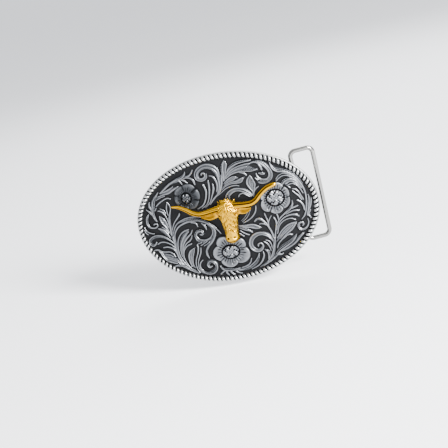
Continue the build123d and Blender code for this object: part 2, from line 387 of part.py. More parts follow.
def behind_plate(solid):
    return solid & Location((0, bend_radius, 0)) * Cylinder(bend_radius, tall)


def oval(inset):
    return Plane.XZ * Ellipse(half_length - inset, half_height - inset)


def ribbon(points):
    # The face of one tapered stroke, with both sides as splines.
    spine = [(x * scale_x, z * scale_z, half) for x, z, half in points]
    left = []
    right = []
    for i, (x, z, half) in enumerate(spine):
        before = spine[max(i - 1, 0)]
        after = spine[min(i + 1, len(spine) - 1)]
        run_x = after[0] - before[0]
        run_z = after[1] - before[1]
        run = hypot(run_x, run_z)
        left.append((x - half * run_z / run, z + half * run_x / run))
        right.append((x + half * run_z / run, z - half * run_x / run))
    ends = [Line(left[-1], right[-1]), Line(right[0], left[0])]
    return Plane.XZ * make_face([Spline(*left), Spline(*reversed(right)), *ends])


def petal(centre, tip, half_width):
    run_x = tip[0] - centre[0]
    run_z = tip[1] - centre[1]
    middle = Location((centre[0] + run_x / 2, centre[1] + run_z / 2), degrees(atan2(run_z, run_x)))
    return Plane.XZ * middle * Ellipse(hypot(run_x, run_z) / 2, half_width)


def on_plate(point):
    return (point[0] * scale_x, point[1] * scale_z)


def horn_loft(points):
    # A tapered round bar through circles set square to its path, bent with the plate.
    path = [Vector(emblem_x + x, front_y(emblem_x + x) - rise, z) for x, z, radius, rise in points]
    circles = []
    for i, here in enumerate(path):
        along = path[min(i + 1, len(path) - 1)] - path[max(i - 1, 0)]
        circles.append(Plane(origin=here, z_dir=along) * Circle(points[i][2]))
    return loft(circles)


def make_plate():
    return slab(oval(0)) & bent_shell(bend_radius, front_radius)


def make_rope_edge():
    return on_front(oval(rim_land) - oval(rim_land + rope_width), rope_height)


def flower_outline(name):
    centre, eye, petals = flowers[name]
    middle = on_plate(centre)
    shape = Plane.XZ * Location(middle) * Ellipse(eye[0] + ring_groove, eye[1] + ring_groove)
    for x, z, half_width in petals:
        shape += petal(middle, on_plate((x, z)), half_width)
    return shape


def make_flower(name):
    centre, eye, petals = flowers[name]
    middle = Plane.XZ * Location(on_plate(centre))
    groove = middle * Ellipse(eye[0] + ring_groove, eye[1] + ring_groove)
    disc = middle * Ellipse(*eye)
    shape = on_front(flower_outline(name) - groove, overlay_height)
    shape += on_front(groove - disc, groove_floor)
    return shape + on_front(disc, overlay_height + eye_rise)


def make_emblem():
    depth_at = front_y(emblem_x) - emblem_standoff
    sections = []
    for z, half_width, half_depth in head_sections:
        place = Plane.XY.offset(z) * Location((emblem_x, depth_at - half_depth))
        sections.append(place * Ellipse(half_width, half_depth))
    emblem = loft(sections)
    for points in (left_horn, right_horn, left_ear, right_ear):
        emblem += horn_loft(points)
    boss = Plane.XZ * Location((emblem_x, 0)) * Ellipse(boss_length, boss_height)
    return emblem + on_front(boss, emblem_standoff + head_sections[3][2])


def make_rivets():
    rivets = []
    for side in (-1, 1):
        place = Plane.XZ * Location((emblem_x, side * rivet_spacing / 2))
        shank = slab(place * Circle(rivet_radius))
        shank &= bent_shell(bend_radius, front_radius + rivet_depth)
        head = slab(place * Circle(rivet_head_radius))
        head &= bent_shell(bend_radius - rivet_head_height, bend_radius)
        rivets.append(shank + head)
    return rivets


def make_sleeve():
    place = Location((hinge_x, hinge_y, 0))
    return place * Cylinder(sleeve_radius, sleeve_length) - place * Cylinder(sleeve_bore, sleeve_length)


def make_saddle():
    depth = hinge_y - rear_y(hinge_x) + saddle_depth
    block = Location((hinge_x, hinge_y - depth / 2, 0)) * Box(saddle_width, depth, sleeve_length)
    return behind_plate(block) - Location((hinge_x, hinge_y, 0)) * Cylinder(sleeve_radius, tall)


def make_bail():
    # The loop is drawn pointing along +X with its hinge bar on the joint's axis, then turned.
    loop = Plane.XZ * Location((bail_reach / 2, 0))
    path = (loop * RectangleRounded(bail_reach, 2 * bail_half_height, bail_corner)).wire()
    wire = sweep(Plane(origin=path @ 0, z_dir=path % 0) * Circle(wire_radius), path=path)
    return Location((hinge_x, hinge_y, bail_rise)) * Rot(0, 0, bail_rest_angle) * wire


def make_hook():
    foot = Location((hook_x, rear_y(hook_x), 0)) * Rot(0, 0, hook_tilt) * Rot(-90, 0, 0)
    shoulder = hook_collar_length + hook_neck_length
    shank = Location((0, 0, (shoulder + hook_length) / 2))
    shank *= Cylinder(hook_radius, hook_length - shoulder)
    neck = Location((0, 0, shoulder / 2)) * Cylinder(hook_neck_radius, shoulder)
    sunk = 2 * plate_thickness
    collar = Location((0, 0, (hook_collar_length - sunk) / 2))
    collar *= Cylinder(hook_collar_radius, hook_collar_length + sunk)
    peg = foot * (shank + neck + collar)
    tip = peg.edges().sort_by(Axis.Y)[-1]
    return behind_plate(fillet(tip, hook_dome))


def make_hook_pad():
    shape = slab(Plane.XZ * Location((hook_x, 0)) * Circle(hook_pad_radius))
    return shape & bent_shell(bend_radius - hook_pad_thickness, bend_radius)


def make_overlays():
    # Later overlays are cut back where they would run under an earlier one or a flower.
    taken = Sketch() + [flower_outline(name) for name in flowers]
    field = oval(field_inset)
    made = {}
    for name, strokes in overlays.items():
        shape = (Sketch() + [ribbon(points) for points in strokes]) & field
        shape -= taken
        taken += shape
        made[name] = on_front(shape, overlay_height)
    return made


nodes = {"rope_edge": make_rope_edge(), "emblem_rivets": make_rivets(), "hinge_saddle": make_saddle(),
         "hinge_sleeve": make_sleeve(), "bail_loop": make_bail(), "belt_hook": make_hook()}
nodes["base_plate"] = make_plate() - nodes["emblem_rivets"]
nodes["steer_emblem"] = make_emblem() - nodes["emblem_rivets"]
nodes["hook_pad"] = make_hook_pad() - nodes["belt_hook"]
for flower_name in flowers:
    nodes[flower_name] = make_flower(flower_name)
for overlay_name, overlay in make_overlays().items():
    nodes["overlay_" + overlay_name] = overlay

os.makedirs("parts", exist_ok=True)
for name, shape in nodes.items():
    if isinstance(shape, list):
        shape = Compound(children=shape)
    export_step(shape, f"parts/{name}.step")
    print(name, len(shape.solids()), round(shape.volume, 1))
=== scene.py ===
import json
from math import atan2, ceil, cos, exp, hypot, pi, radians, sin, sqrt
from random import Random

import bmesh
import bpy
from mathutils import Matrix, Vector


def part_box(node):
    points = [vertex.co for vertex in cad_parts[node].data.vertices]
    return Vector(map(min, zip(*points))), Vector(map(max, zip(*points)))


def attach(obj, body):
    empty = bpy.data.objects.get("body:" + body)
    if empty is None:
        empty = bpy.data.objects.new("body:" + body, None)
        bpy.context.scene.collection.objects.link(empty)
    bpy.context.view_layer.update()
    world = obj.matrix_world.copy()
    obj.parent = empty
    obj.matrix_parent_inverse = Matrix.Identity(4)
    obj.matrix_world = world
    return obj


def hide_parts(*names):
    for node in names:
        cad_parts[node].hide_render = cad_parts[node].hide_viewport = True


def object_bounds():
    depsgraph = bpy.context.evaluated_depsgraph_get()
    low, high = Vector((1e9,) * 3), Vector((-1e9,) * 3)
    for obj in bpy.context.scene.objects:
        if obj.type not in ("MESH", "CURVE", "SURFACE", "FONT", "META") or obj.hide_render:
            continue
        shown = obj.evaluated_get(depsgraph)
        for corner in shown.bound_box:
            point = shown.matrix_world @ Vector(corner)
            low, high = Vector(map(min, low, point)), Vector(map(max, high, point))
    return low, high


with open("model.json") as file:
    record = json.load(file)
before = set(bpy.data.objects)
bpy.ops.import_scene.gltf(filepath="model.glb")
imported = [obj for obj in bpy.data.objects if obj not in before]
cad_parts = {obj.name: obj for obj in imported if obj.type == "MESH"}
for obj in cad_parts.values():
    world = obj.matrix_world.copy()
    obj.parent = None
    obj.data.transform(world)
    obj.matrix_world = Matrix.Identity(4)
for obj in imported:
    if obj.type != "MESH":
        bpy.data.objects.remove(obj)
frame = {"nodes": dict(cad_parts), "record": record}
cadLow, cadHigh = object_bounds()
mm = 0.001

# A western dress buckle: a bent oval plate, black in the ground and silver on the high places, with a
# twisted wire edge, soldered scrolls and flowers, a gilt longhorn head, and a wire bail on the back.

plateLow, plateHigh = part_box("base_plate")
halfLength = plateHigh[0]
halfHeight = plateHigh[2]
plateThick = -plateLow[1]
bendRadius = (halfLength ** 2 + plateHigh[1] ** 2) / (2 * plateHigh[1])
frontRadius = bendRadius + plateThick
joint = frame["record"]["behaviour"]["joints"][0]
hingePoint = Vector(joint["pos_m"])
mounts = {mount["name"]: mount for mount in frame["record"]["mounts"]}


def onFront(x, z, lift):
    # A point over the plate's bent front face.
    return Vector((x, bendRadius - sqrt((frontRadius + lift) ** 2 - x ** 2), z))


def onRear(x, z, drop):
    # A point behind the plate's bent rear face.
    return Vector((x, bendRadius - sqrt((bendRadius - drop) ** 2 - x ** 2), z))


def smooth(low, high, value):
    share = min(max((value - low) / (high - low), 0), 1)
    return share * share * (3 - 2 * share)


def bump(value, centre, width):
    return exp(-((value - centre) / width) ** 2)


def blendTable(rows, value):
    # Smoothly read a table whose first column falls or rises steadily.
    sign = 1 if rows[-1][0] > rows[0][0] else -1
    for here, there in zip(rows, rows[1:]):
        if (there[0] - value) * sign >= 0:
            break
    share = smooth(0, 1, (value - here[0]) / (there[0] - here[0]))
    return [a + (b - a) * share for a, b in zip(here[1:], there[1:])]


welding = 2e-6  # metres within which points are joined


def finishPiece(name, form, body, node=None, material=None):
    bmesh.ops.remove_doubles(form, verts=form.verts, dist=welding)
    bmesh.ops.recalc_face_normals(form, faces=form.faces)
    for face in form.faces:
        face.smooth = True
    mesh = bpy.data.meshes.new(name)
    form.to_mesh(mesh)
    form.free()
    piece = bpy.data.objects.new(name, mesh)
    bpy.context.collection.objects.link(piece)
    if material:
        mesh.materials.append(material)
    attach(piece, body)
    if node:
        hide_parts(node)


def newForm():
    form = bmesh.new()
    for layer in ("wear", "along", "across"):
        form.verts.layers.float.new(layer)
    return form


def layGrid(form, along, around, place):
    # Lay a grid over a form: u runs along it and v round it. place gives the point and its layers.
    cells = bmesh.ops.create_grid(form, x_segments=along, y_segments=around, size=0.5)["verts"]
    wear, run, over = [form.verts.layers.float[key] for key in ("wear", "along", "across")]
    for vert in cells:
        u = round((vert.co.x + 0.5) * along) / along
        v = round((vert.co.y + 0.5) * around) / around
        spot = place(u, v)
        vert.co = spot[0]
        vert[wear] = spot[1]
        vert[run] = spot[2] if len(spot) > 2 else 0
        vert[over] = spot[3] if len(spot) > 3 else 0
    bmesh.ops.remove_doubles(form, verts=[vert for vert in cells if vert.is_valid], dist=welding)


def rgb(code):
    # sRGB hex to the linear colour that the shader takes
    parts = [int(code[i:i + 2], 16) / 255 for i in (1, 3, 5)]
    return tuple(p / 12.92 if p <= 0.04045 else ((p + 0.055) / 1.055) ** 2.4 for p in parts) + (1,)


def addNode(tree, kind, settings=None, links=None, values=None):
    node = tree.nodes.new(kind)
    for key, value in (settings or {}).items():
        setattr(node, key, value)
    for key, value in (values or {}).items():
        node.inputs[key].default_value = value
    for key, source in (links or {}).items():
        tree.links.new(source, node.inputs[key])
    return node


def newMaterial(name, metallic, values=None):
    material = bpy.data.materials.new(name)
    material.use_nodes = True
    tree = material.node_tree
    shader = tree.nodes["Principled BSDF"]
    shader.inputs["Metallic"].default_value = metallic
    for key, value in (values or {}).items():
        shader.inputs[key].default_value = value
    return material, tree, shader


def setRamp(node, stops):
    ramp = node.color_ramp
    for place, code in stops[1:-1]:
        ramp.elements.new(place)
    for element, (place, code) in zip(ramp.elements, stops):
        element.position = place
        element.color = rgb(code)
    return node


def attribute(tree, name):
    return addNode(tree, "ShaderNodeAttribute", {"attribute_name": name}).outputs["Fac"]


def patinated(name, stops, metallic, polished, dull, grain, uneven, hatched=False):
    # One look for every plated piece: the wear attribute runs from the dark recesses to the rubbed
    # tops, and a cloudy noise breaks its edge as hand polishing does.
    material, tree, shader = newMaterial(name, metallic)
    place = addNode(tree, "ShaderNodeTexCoord").outputs["Object"]
    cloud = addNode(tree, "ShaderNodeTexNoise", links={"Vector": place},
                    values={"Scale": 1 / (uneven["size"] * mm), "Detail": 3, "Roughness": 0.6})
    shift = addNode(tree, "ShaderNodeMath", {"operation": "MULTIPLY_ADD"},
                    {0: cloud.outputs["Fac"]}, {1: uneven["share"], 2: -uneven["share"] / 2})
    wear = addNode(tree, "ShaderNodeMath", {"operation": "ADD"},
                   {0: attribute(tree, "wear"), 1: shift.outputs[0]}).outputs[0]
    if hatched:
        # graver lines across the broad leaves, on the side of each that turns under
        line = addNode(tree, "ShaderNodeMath", {"operation": "MULTIPLY_ADD"},
                       {0: attribute(tree, "across"), 2: attribute(tree, "along")}, {1: hatched["lean"]})
        pitch = addNode(tree, "ShaderNodeMath", {"operation": "DIVIDE"}, {0: line.outputs[0]},
                        {1: hatched["pitch"]})
        saw = addNode(tree, "ShaderNodeMath", {"operation": "PINGPONG"}, {0: pitch.outputs[0]}, {1: 0.5})
        cut = addNode(tree, "ShaderNodeMapRange", {"interpolation_type": "SMOOTHSTEP"}, {0: saw.outputs[0]},
                      {1: 0.08, 2: 0.24, 3: hatched["depth"], 4: 0})
        side = addNode(tree, "ShaderNodeMapRange", {"interpolation_type": "SMOOTHSTEP"},
                       {0: attribute(tree, "across")}, {1: 0.16, 2: 0.34, 3: 0, 4: 1})
        hatch = addNode(tree, "ShaderNodeMath", {"operation": "MULTIPLY"},
                        {0: cut.outputs[0], 1: side.outputs[0]})
        wear = addNode(tree, "ShaderNodeMath", {"operation": "SUBTRACT"},
                       {0: wear, 1: hatch.outputs[0]}).outputs[0]
    colour = setRamp(addNode(tree, "ShaderNodeValToRGB", links={"Fac": wear}), stops)
    tree.links.new(colour.outputs["Color"], shader.inputs["Base Color"])
    gloss = addNode(tree, "ShaderNodeMapRange", links={0: wear}, values={1: 0, 2: 1, 3: dull, 4: polished})
    tree.links.new(gloss.outputs[0], shader.inputs["Roughness"])
    fine = addNode(tree, "ShaderNodeTexNoise", links={"Vector": place},
                   values={"Scale": 1 / (grain["size"] * mm), "Detail": 4, "Roughness": 0.65})
    relief = addNode(tree, "ShaderNodeBump", links={"Height": fine.outputs["Fac"]},
                     values={"Strength": grain["strength"], "Distance": grain["depth"] * mm})
    tree.links.new(relief.outputs["Normal"], shader.inputs["Normal"])
    return material


silverStops = [(0, "#090a0c"), (0.34, "#151719"), (0.6, "#35373a"), (1, "#74767a")]

# Antiqued silver plate: oxidised black all over, then the relief rubbed bright with a soft buff.
antiquedSilver = patinated("antiquedSilver", silverStops, 0.92, 0.3, 0.62,
                           {"size": 0.35, "depth": 0.02, "strength": 0.35}, {"size": 1.6, "share": 0.3},
                           {"pitch": 0.85, "lean": 0.9, "depth": 0.75})

# The same plate on twisted wire: brighter crowns, soot left between the turns.
ropeSilver = patinated("ropeSilver", [(0, "#090a0c"), (0.3, "#1c1e21"), (0.55, "#707274"), (1, "#b0b1b1")],
                       0.92, 0.26, 0.6, {"size": 0.3, "depth": 0.012, "strength": 0.3},
                       {"size": 1.2, "share": 0.22})

# Oxidised ground: a soft matte black that still shows metal, dull grey on the back, silver on the rim.
oxidisedGround = patinated("oxidisedGround",
                           [(0, "#0b0c0e"), (0.3, "#141518"), (0.6, "#626466"), (1, "#9b9c9b")],
                           0.75, 0.36, 0.55, {"size": 0.22, "depth": 0.03, "strength": 0.5},
                           {"size": 2.4, "share": 0.16})

# Gold plate over the cast head: bright on the crowns, brown lacquer left in the hair and the flutes.
goldPlate = patinated("goldPlate", [(0, "#120700"), (0.35, "#3d2000"), (0.66, "#8f6400"), (1, "#d09c00")],
                      1.0, 0.2, 0.42, {"size": 0.5, "depth": 0.03, "strength": 0.4},
                      {"size": 0.9, "share": 0.2})

# Nickel plate on the drawn wire and its sleeve: a near mirror with faint polishing waves.
polishedNickel = patinated("polishedNickel",
                           [(0, "#3c3d3d"), (0.3, "#575857"), (0.62, "#727270"), (1, "#8a8986")],
                           1.0, 0.14, 0.35, {"size": 1.4, "depth": 0.01, "strength": 0.3},
                           {"size": 3.0, "share": 0.1})

# Tumbled nickel on the hook, its pad and the rivets: the barrel leaves a fine even satin.
tumbledNickel = patinated("tumbledNickel",
                          [(0, "#6a6b6b"), (0.3, "#7f8080"), (0.62, "#a3a3a1"), (1, "#bcbcb9")],
                          1.0, 0.34, 0.46, {"size": 0.3, "depth": 0.02, "strength": 0.4},
                          {"size": 2.0, "share": 0.2})


# Each stroke of the scrolls is a ridge: x, z and half width in mm at the points it runs through.
scrolls = {
    "volute_top": [
        [(1.9, 22, 0.35), (1.9, 25.2, 0.55), (0.2, 28, 0.6), (-2.6, 29.5, 0.55), (-5.6, 29.6, 0.4),
         (-8.6, 28.3, 0.35), (-10.6, 25.8, 0.3), (-10.5, 23.1, 0.3), (-8.6, 21.6, 0.3),
         (-6.2, 21.7, 0.3), (-4.6, 23.1, 0.3), (-4.5, 24.9, 0.25)],
        [(1.2, 20.5, 0.6), (0.9, 24, 0.7), (-1.1, 26.8, 0.75), (-4.2, 28, 0.75), (-7.3, 27.3, 0.75),
         (-9.3, 25.3, 0.7), (-9, 23.3, 0.6), (-7, 22.7, 0.55), (-5.5, 23.7, 0.5), (-5.6, 25.2, 0.5),
         (-6.8, 25.5, 0.5), (-7.1, 24.8, 0.45)],
        [(-3.2, 23.5, 0.35), (-1.8, 23, 0.5), (-0.8, 21.5, 0.6), (-0.2, 19.3, 0.55), (-0.4, 17, 0.5),
         (-1.2, 14.8, 0.4)],
        [(-1, 13.5, 0.35), (0.7, 16, 0.45), (1.1, 18.5, 0.5), (1.2, 20.8, 0.5)],
    ],
    "fingers_top": [
        [(-13.3, 7.3, 0.35), (-9.8, 9, 0.5), (-7.7, 12.2, 0.6), (-6.7, 16, 0.65), (-7.4, 19.4, 0.6)],
        [(-11, 7.2, 0.3), (-7.8, 9, 0.4), (-5.8, 12.6, 0.45), (-4.7, 17, 0.6), (-4.4, 21, 0.45)],
        [(-9, 7.4, 0.3), (-6.2, 9.4, 0.4), (-4.2, 12.8, 0.45), (-2.6, 16.2, 0.7), (-2.5, 19, 0.35)],
    ],
    "leaf_top": [
        [(-6, 8.6, 0.4), (-3.8, 10.9, 0.65), (-1.6, 12.6, 0.6), (0.4, 14.3, 0.45), (2, 17.5, 0.6),
         (2.7, 20.5, 0.6), (2.9, 22.6, 0.4)],
        [(3.6, 19.5, 0.4), (3.9, 22.5, 0.75), (4.2, 25.5, 0.85), (4.9, 28, 0.75), (5.9, 29.4, 0.35)],
        [(4.3, 20.5, 0.3), (5.4, 23.5, 0.4), (6.3, 26.2, 0.5), (6.8, 27.6, 0.5), (6.4, 29.2, 0.35)],
        [(6, 23.2, 0.35), (8.3, 25.8, 0.8), (11.3, 27.1, 1), (14.5, 27.5, 0.9), (17.3, 27.4, 0.7),
         (19.2, 27.2, 0.45)],
        [(3.9, 19.6, 0.3), (6.3, 22.5, 0.4), (9.3, 24.5, 0.4), (13, 25.5, 0.35), (17, 25.8, 0.45),
         (18.3, 25.6, 0.4)],
        [(7, 22.2, 0.3), (10.2, 23.7, 0.35), (13.5, 24.4, 0.3), (16.8, 24.4, 0.3)],
        [(5, 20.4, 0.35), (8, 22, 0.5), (11.5, 22.6, 0.55), (15.5, 22.6, 0.9), (18.5, 22, 0.9),
         (21.2, 21.9, 0.5)],
        [(12.5, 22.2, 0.4), (14.6, 21.3, 0.55), (15.8, 20, 0.35)],
        [(3.6, 18.2, 0.3), (6, 19.8, 0.35), (8.5, 20.6, 0.35), (10.2, 20.2, 0.4)],
        [(10.1, 19.9, 0.4), (8.5, 18.9, 0.35), (6, 18.5, 0.35), (3.8, 17.5, 0.3)],
        [(3.2, 16.6, 0.3), (6.5, 17.9, 0.3), (10, 18, 0.35), (12.5, 18.8, 0.4), (13.5, 18.9, 0.45)],
        [(13.6, 18.6, 0.45), (12.5, 17.2, 0.45), (10.5, 16.9, 0.35), (7, 17.1, 0.3), (4, 16.4, 0.3),
         (1.5, 15, 0.3)],
        [(-2.5, 11.8, 0.3), (0.5, 13.3, 0.35), (3.5, 15.1, 0.4), (6.5, 15.9, 0.4), (9, 15.9, 0.4),
         (10.7, 15.3, 0.3)],
    ],
    "arch_over_head": [
        [(2.2, 9, 0.35), (3, 11.4, 0.4), (5.2, 13.5, 0.45), (8.5, 14.3, 0.45), (11.8, 13.4, 0.45),
         (14.5, 11.3, 0.4), (16.6, 9, 0.3)],
        [(4.1, 8.8, 0.35), (4.6, 10.8, 0.45), (6.4, 12.4, 0.5), (8.8, 13, 0.4), (11.3, 12.3, 0.4),
         (13.6, 10.8, 0.4), (15.8, 8.9, 0.3)],
        [(9.3, 9.7, 0.4), (10.2, 10.8, 0.45), (11.8, 11.1, 0.5), (13.3, 10.1, 0.5), (14.9, 8.7, 0.4)],
    ],
    "lancet_leaf": [
        [(17.3, 19.4, 0.35), (15.6, 17.6, 0.5), (15.1, 15.6, 0.55), (15.8, 13.4, 0.5), (17, 11, 0.4),
         (17.2, 9.2, 0.3)],
        [(17.6, 19, 0.3), (18.4, 16.9, 0.35), (18.9, 14.6, 0.4), (18.3, 12.6, 0.5), (17.6, 10.6, 0.45),
         (17.1, 9, 0.3)],
        [(17.1, 17.6, 0.2), (16.5, 15.6, 0.25), (16.8, 13.2, 0.2)],
        [(17.9, 16.4, 0.2), (17.6, 14.4, 0.25), (17.4, 12.6, 0.2)],
        [(20.3, 12.9, 0.35), (19, 12.1, 0.5), (18, 11, 0.4)],
    ],
    "crest_right": [
        [(19.3, 25.9, 0.4), (21.5, 25.9, 0.75), (24, 24.3, 0.7), (26, 22.2, 0.65), (27.2, 19.6, 0.6),
         (27, 17.3, 0.55), (25.5, 15.9, 0.6), (23.4, 15.9, 0.8), (21.6, 17, 0.8), (20.9, 18.6, 0.6),
         (20.8, 19.8, 0.4)],
        [(22.2, 26.2, 0.25), (24.8, 25, 0.3), (27.1, 22.5, 0.3), (28.5, 19.5, 0.3), (28.5, 17, 0.3),
         (27.2, 15, 0.35), (25, 14.1, 0.4), (22.8, 14.1, 0.4), (21.2, 14.8, 0.35)],
        [(22.9, 24.2, 0.5), (23.8, 22.6, 0.65), (24, 21.2, 0.55)],
        [(22.3, 19.7, 0.6), (23.5, 19.3, 0.95), (24.5, 18.9, 0.7)],
        [(19.8, 17.6, 0.35), (20.8, 16.3, 0.4)],
    ],
    "acanthus_right": [
        [(28.6, 23.8, 0.25), (29.4, 21, 0.75), (31.2, 19.1, 1), (34, 18.1, 0.8), (36.8, 16.5, 0.6),
         (39.2, 14, 0.6), (41.2, 10.8, 0.6), (42.5, 7.2, 0.55), (42.9, 3.5, 0.5), (42.5, -0.5, 0.6),
         (41.6, -4, 0.55), (40.2, -7, 0.5), (38.3, -8.8, 0.3)],
        [(29.9, 14.7, 0.3), (31.5, 16.2, 0.3), (33.8, 16.9, 0.3), (36.2, 16, 0.3), (38, 14.6, 0.25)],
        [(29.8, 13.7, 0.35), (31.6, 15, 0.35), (33.8, 15.7, 0.35), (36.3, 15, 0.35), (38.8, 13.2, 0.4),
         (40.6, 10.6, 0.4)],
        [(32.4, 11.5, 0.75), (33.8, 13, 1), (36.3, 13.4, 0.75), (38.8, 12.2, 0.5), (40.6, 9.8, 0.4),
         (41.6, 7.4, 0.35)],
        [(34.4, 11.3, 0.6), (36.5, 11.9, 0.3), (38.6, 11, 0.3), (40.4, 8.9, 0.3)],
        [(34.9, 10.2, 0.5), (37, 10.7, 0.35), (39, 9.8, 0.35), (40.6, 7.6, 0.35), (41.7, 4.6, 0.35)],
        [(35.3, 9.5, 0.35), (36, 8.8, 0.4)],
        [(37, 7.9, 0.4), (38.4, 7.3, 0.4), (39.7, 5.6, 0.45), (40.5, 3.2, 0.45), (41.3, 1.2, 0.35)],
        [(36.9, 6.7, 0.35), (38, 5.2, 0.4), (39.4, 3.4, 0.45), (40.4, 1.3, 0.4)],
        [(38.1, 1.6, 0.45), (39.6, 0.2, 0.55), (40.6, -1.8, 0.6), (40.7, -4.2, 0.5)],
        [(44.1, 3, 0.25), (44, 0.5, 0.4), (43.4, -2, 0.5), (42.5, -4.8, 0.55), (41.5, -7.2, 0.45)],
        [(45.2, 0.8, 0.3), (44.7, -1.2, 0.4), (43.9, -3, 0.45), (42.8, -4.6, 0.45)],
        [(43.5, -5.2, 0.4), (42.7, -6.2, 0.5), (41.9, -7.4, 0.4)],
        [(43, -9.2, 0.3), (42.6, -8.1, 0.5), (41.7, -7.3, 0.4)],
    ],
    "volute_right": [
        [(41.3, -9.2, 0.25), (41.3, -11.4, 0.4), (40, -13.4, 0.6), (37.9, -14.2, 0.75),
         (36.2, -13.2, 0.75), (35.9, -11.4, 0.75), (37, -10.3, 0.65), (38.4, -10.6, 0.65),
         (38.7, -11.6, 0.5), (38, -12.2, 0.35)],
    ],
    "tree_right": [
        [(14, -28.9, 0.3), (17.5, -27.3, 0.5), (20.5, -25.6, 0.7), (22.8, -23.3, 1.1), (25, -21.8, 1.1),
         (28, -20.5, 1), (31, -19.1, 0.8), (33, -17.5, 0.6), (33.7, -16.4, 0.3)],
        [(24.5, -23, 0.4), (28, -22.2, 0.4), (31.5, -20.9, 0.45), (34, -19.1, 0.6), (35.8, -17.3, 0.75),
         (37.2, -16.4, 0.6)],
        [(22.5, -24.2, 0.8), (24, -24.8, 0.6), (24.9, -24.6, 0.4)],
        [(16.5, -27.2, 0.4), (19.1, -24.4, 0.45), (20.9, -21, 0.5), (21.9, -18, 0.75),
         (22.5, -15.6, 0.8)],
        [(21.7, -17.6, 0.4), (20.7, -14.6, 0.45), (18.8, -12.4, 0.5), (16, -11.1, 0.5),
         (13, -11.3, 0.5), (10.3, -13.3, 0.5), (9.2, -16.3, 0.5), (10, -19.2, 0.5), (12.3, -20.8, 0.5),
         (14.8, -20.4, 0.5), (16, -18.5, 0.5), (15.2, -16.7, 0.5), (13.7, -17, 0.5), (13.4, -18, 0.4)],
        [(21.2, -16.4, 0.35), (19.4, -14, 0.35), (16.6, -12.4, 0.35), (13.8, -12.6, 0.35),
         (11.4, -14.4, 0.35), (10.6, -17, 0.35), (11.5, -19, 0.3), (12.6, -19.6, 0.25)],
        [(22.3, -15.5, 0.5), (21.8, -12, 0.55), (20.7, -8.6, 0.55), (19.3, -6, 0.6), (17.7, -4.1, 0.75),
         (16, -3.7, 0.75), (14.5, -4.7, 0.45)],
        [(20.6, -8.6, 0.3), (19, -7.1, 0.4), (17.3, -6.5, 0.4), (16.6, -6.7, 0.3)],
        [(20.9, -9, 0.4), (21.2, -6.6, 0.45), (20.7, -3.8, 0.4), (20.3, -1.8, 0.35)],
        [(21.2, -6.8, 0.4), (22.2, -5, 0.35), (23.3, -3.7, 0.3)],
        [(22.8, -16, 0.5), (23.9, -12, 0.4), (25.1, -8.6, 0.5), (25.2, -6.4, 0.5), (24.5, -4.6, 0.35)],
        [(26.6, -6.8, 0.3), (26.7, -4.8, 0.45), (26.4, -3.6, 0.35)],
        [(25.6, -8.2, 0.3), (27.8, -5.6, 0.45), (30.5, -3.8, 0.6), (33.5, -2, 0.85), (35.2, 0, 0.6),
         (35.5, 2, 0.25)],
        [(34.3, -1.9, 0.6), (36, -1.6, 0.6), (37.6, -1.3, 0.5)],
        [(31, -4.4, 0.3), (34.5, -3.4, 0.5), (36.5, -3.5, 0.55), (37.8, -4, 0.4)],
        [(24.6, -11.5, 0.3), (26.6, -8.2, 0.35), (29.5, -6, 0.45), (33, -5.2, 0.5), (35.7, -5.7, 0.6),
         (37.2, -6.9, 0.35)],
        [(24.6, -13.5, 0.3), (26.2, -9.9, 0.35), (28.6, -7.8, 0.35), (31.5, -7, 0.35),
         (33.7, -7.4, 0.35), (35.1, -8.4, 0.3)],
        [(24, -15.8, 0.35), (27, -12.5, 0.4), (30.2, -10.4, 0.5), (33, -9.7, 0.5), (35.2, -9.8, 0.35)],
        [(25.2, -15.5, 0.2), (28.5, -12.6, 0.25), (31.8, -10.8, 0.25)],
        [(25.4, -16.4, 0.25), (29.3, -13.3, 0.3), (32.8, -11.2, 0.35)],
        [(26, -17, 0.35), (29.3, -14.6, 0.45), (32.2, -12.8, 0.7), (34.6, -10.6, 0.45)],
        [(28.5, -15.6, 0.4), (30.5, -15.2, 0.55), (31.8, -15.8, 0.4)],
        [(22.9, -21, 0.3), (24, -18.9, 0.4), (26, -17.2, 0.45), (28.5, -15.8, 0.45)],
        [(16.8, -16.3, 0.4), (18.2, -17.7, 0.35), (19.1, -19.8, 0.35), (19.3, -21.8, 0.3)],
        [(18, -15.7, 0.4), (19.4, -16.6, 0.35), (20.2, -18.6, 0.35), (20.2, -20.6, 0.3)],
        [(16.6, -20.6, 0.5), (17.8, -21.5, 0.85), (18, -23.6, 0.8), (17.3, -25.8, 0.5)],
    ],
    "swag_bottom": [
        [(15.2, -21.6, 0.35), (15.2, -23.6, 0.55), (13.7, -26.2, 0.55), (11.3, -28.2, 0.45),
         (7.5, -29.6, 0.3)],
        [(12.8, -22.2, 0.35), (12, -24.2, 0.85), (10, -26.2, 0.9), (7, -27.9, 0.9), (4, -28.8, 0.8),
         (1, -28.7, 0.5), (-0.2, -28.1, 0.3)],
        [(8.4, -24, 0.35), (7.4, -25.9, 0.45), (5.5, -27.2, 0.5), (2.5, -27.8, 0.4)],
        [(-8.8, -25, 0.3), (-7.6, -26.6, 0.7), (-5.5, -27.5, 1.1), (-2.5, -27.9, 0.9), (1, -27.9, 0.5)],
        [(-9.4, -29.3, 0.45), (-8, -28.4, 0.5), (-6.5, -27.8, 0.5)],
        [(-5.2, -30.6, 0.35), (-6, -29.3, 0.6), (-6, -28.3, 0.6)],
        [(-2.2, -30.8, 0.3), (-3.4, -29.6, 0.6), (-3.8, -28.6, 0.6)],
        [(1.9, -30.8, 0.35), (0.2, -30.1, 0.45), (-1, -29.1, 0.5)],
    ],
    "volute_bottom": [
        [(-17.5, -20.3, 0.35), (-19, -21.8, 0.45), (-19.5, -24, 0.6), (-18.5, -26.3, 0.75),
         (-16, -27.8, 0.85), (-13.2, -27.9, 0.9), (-11.1, -26.3, 0.9), (-10.7, -23.9, 0.9),
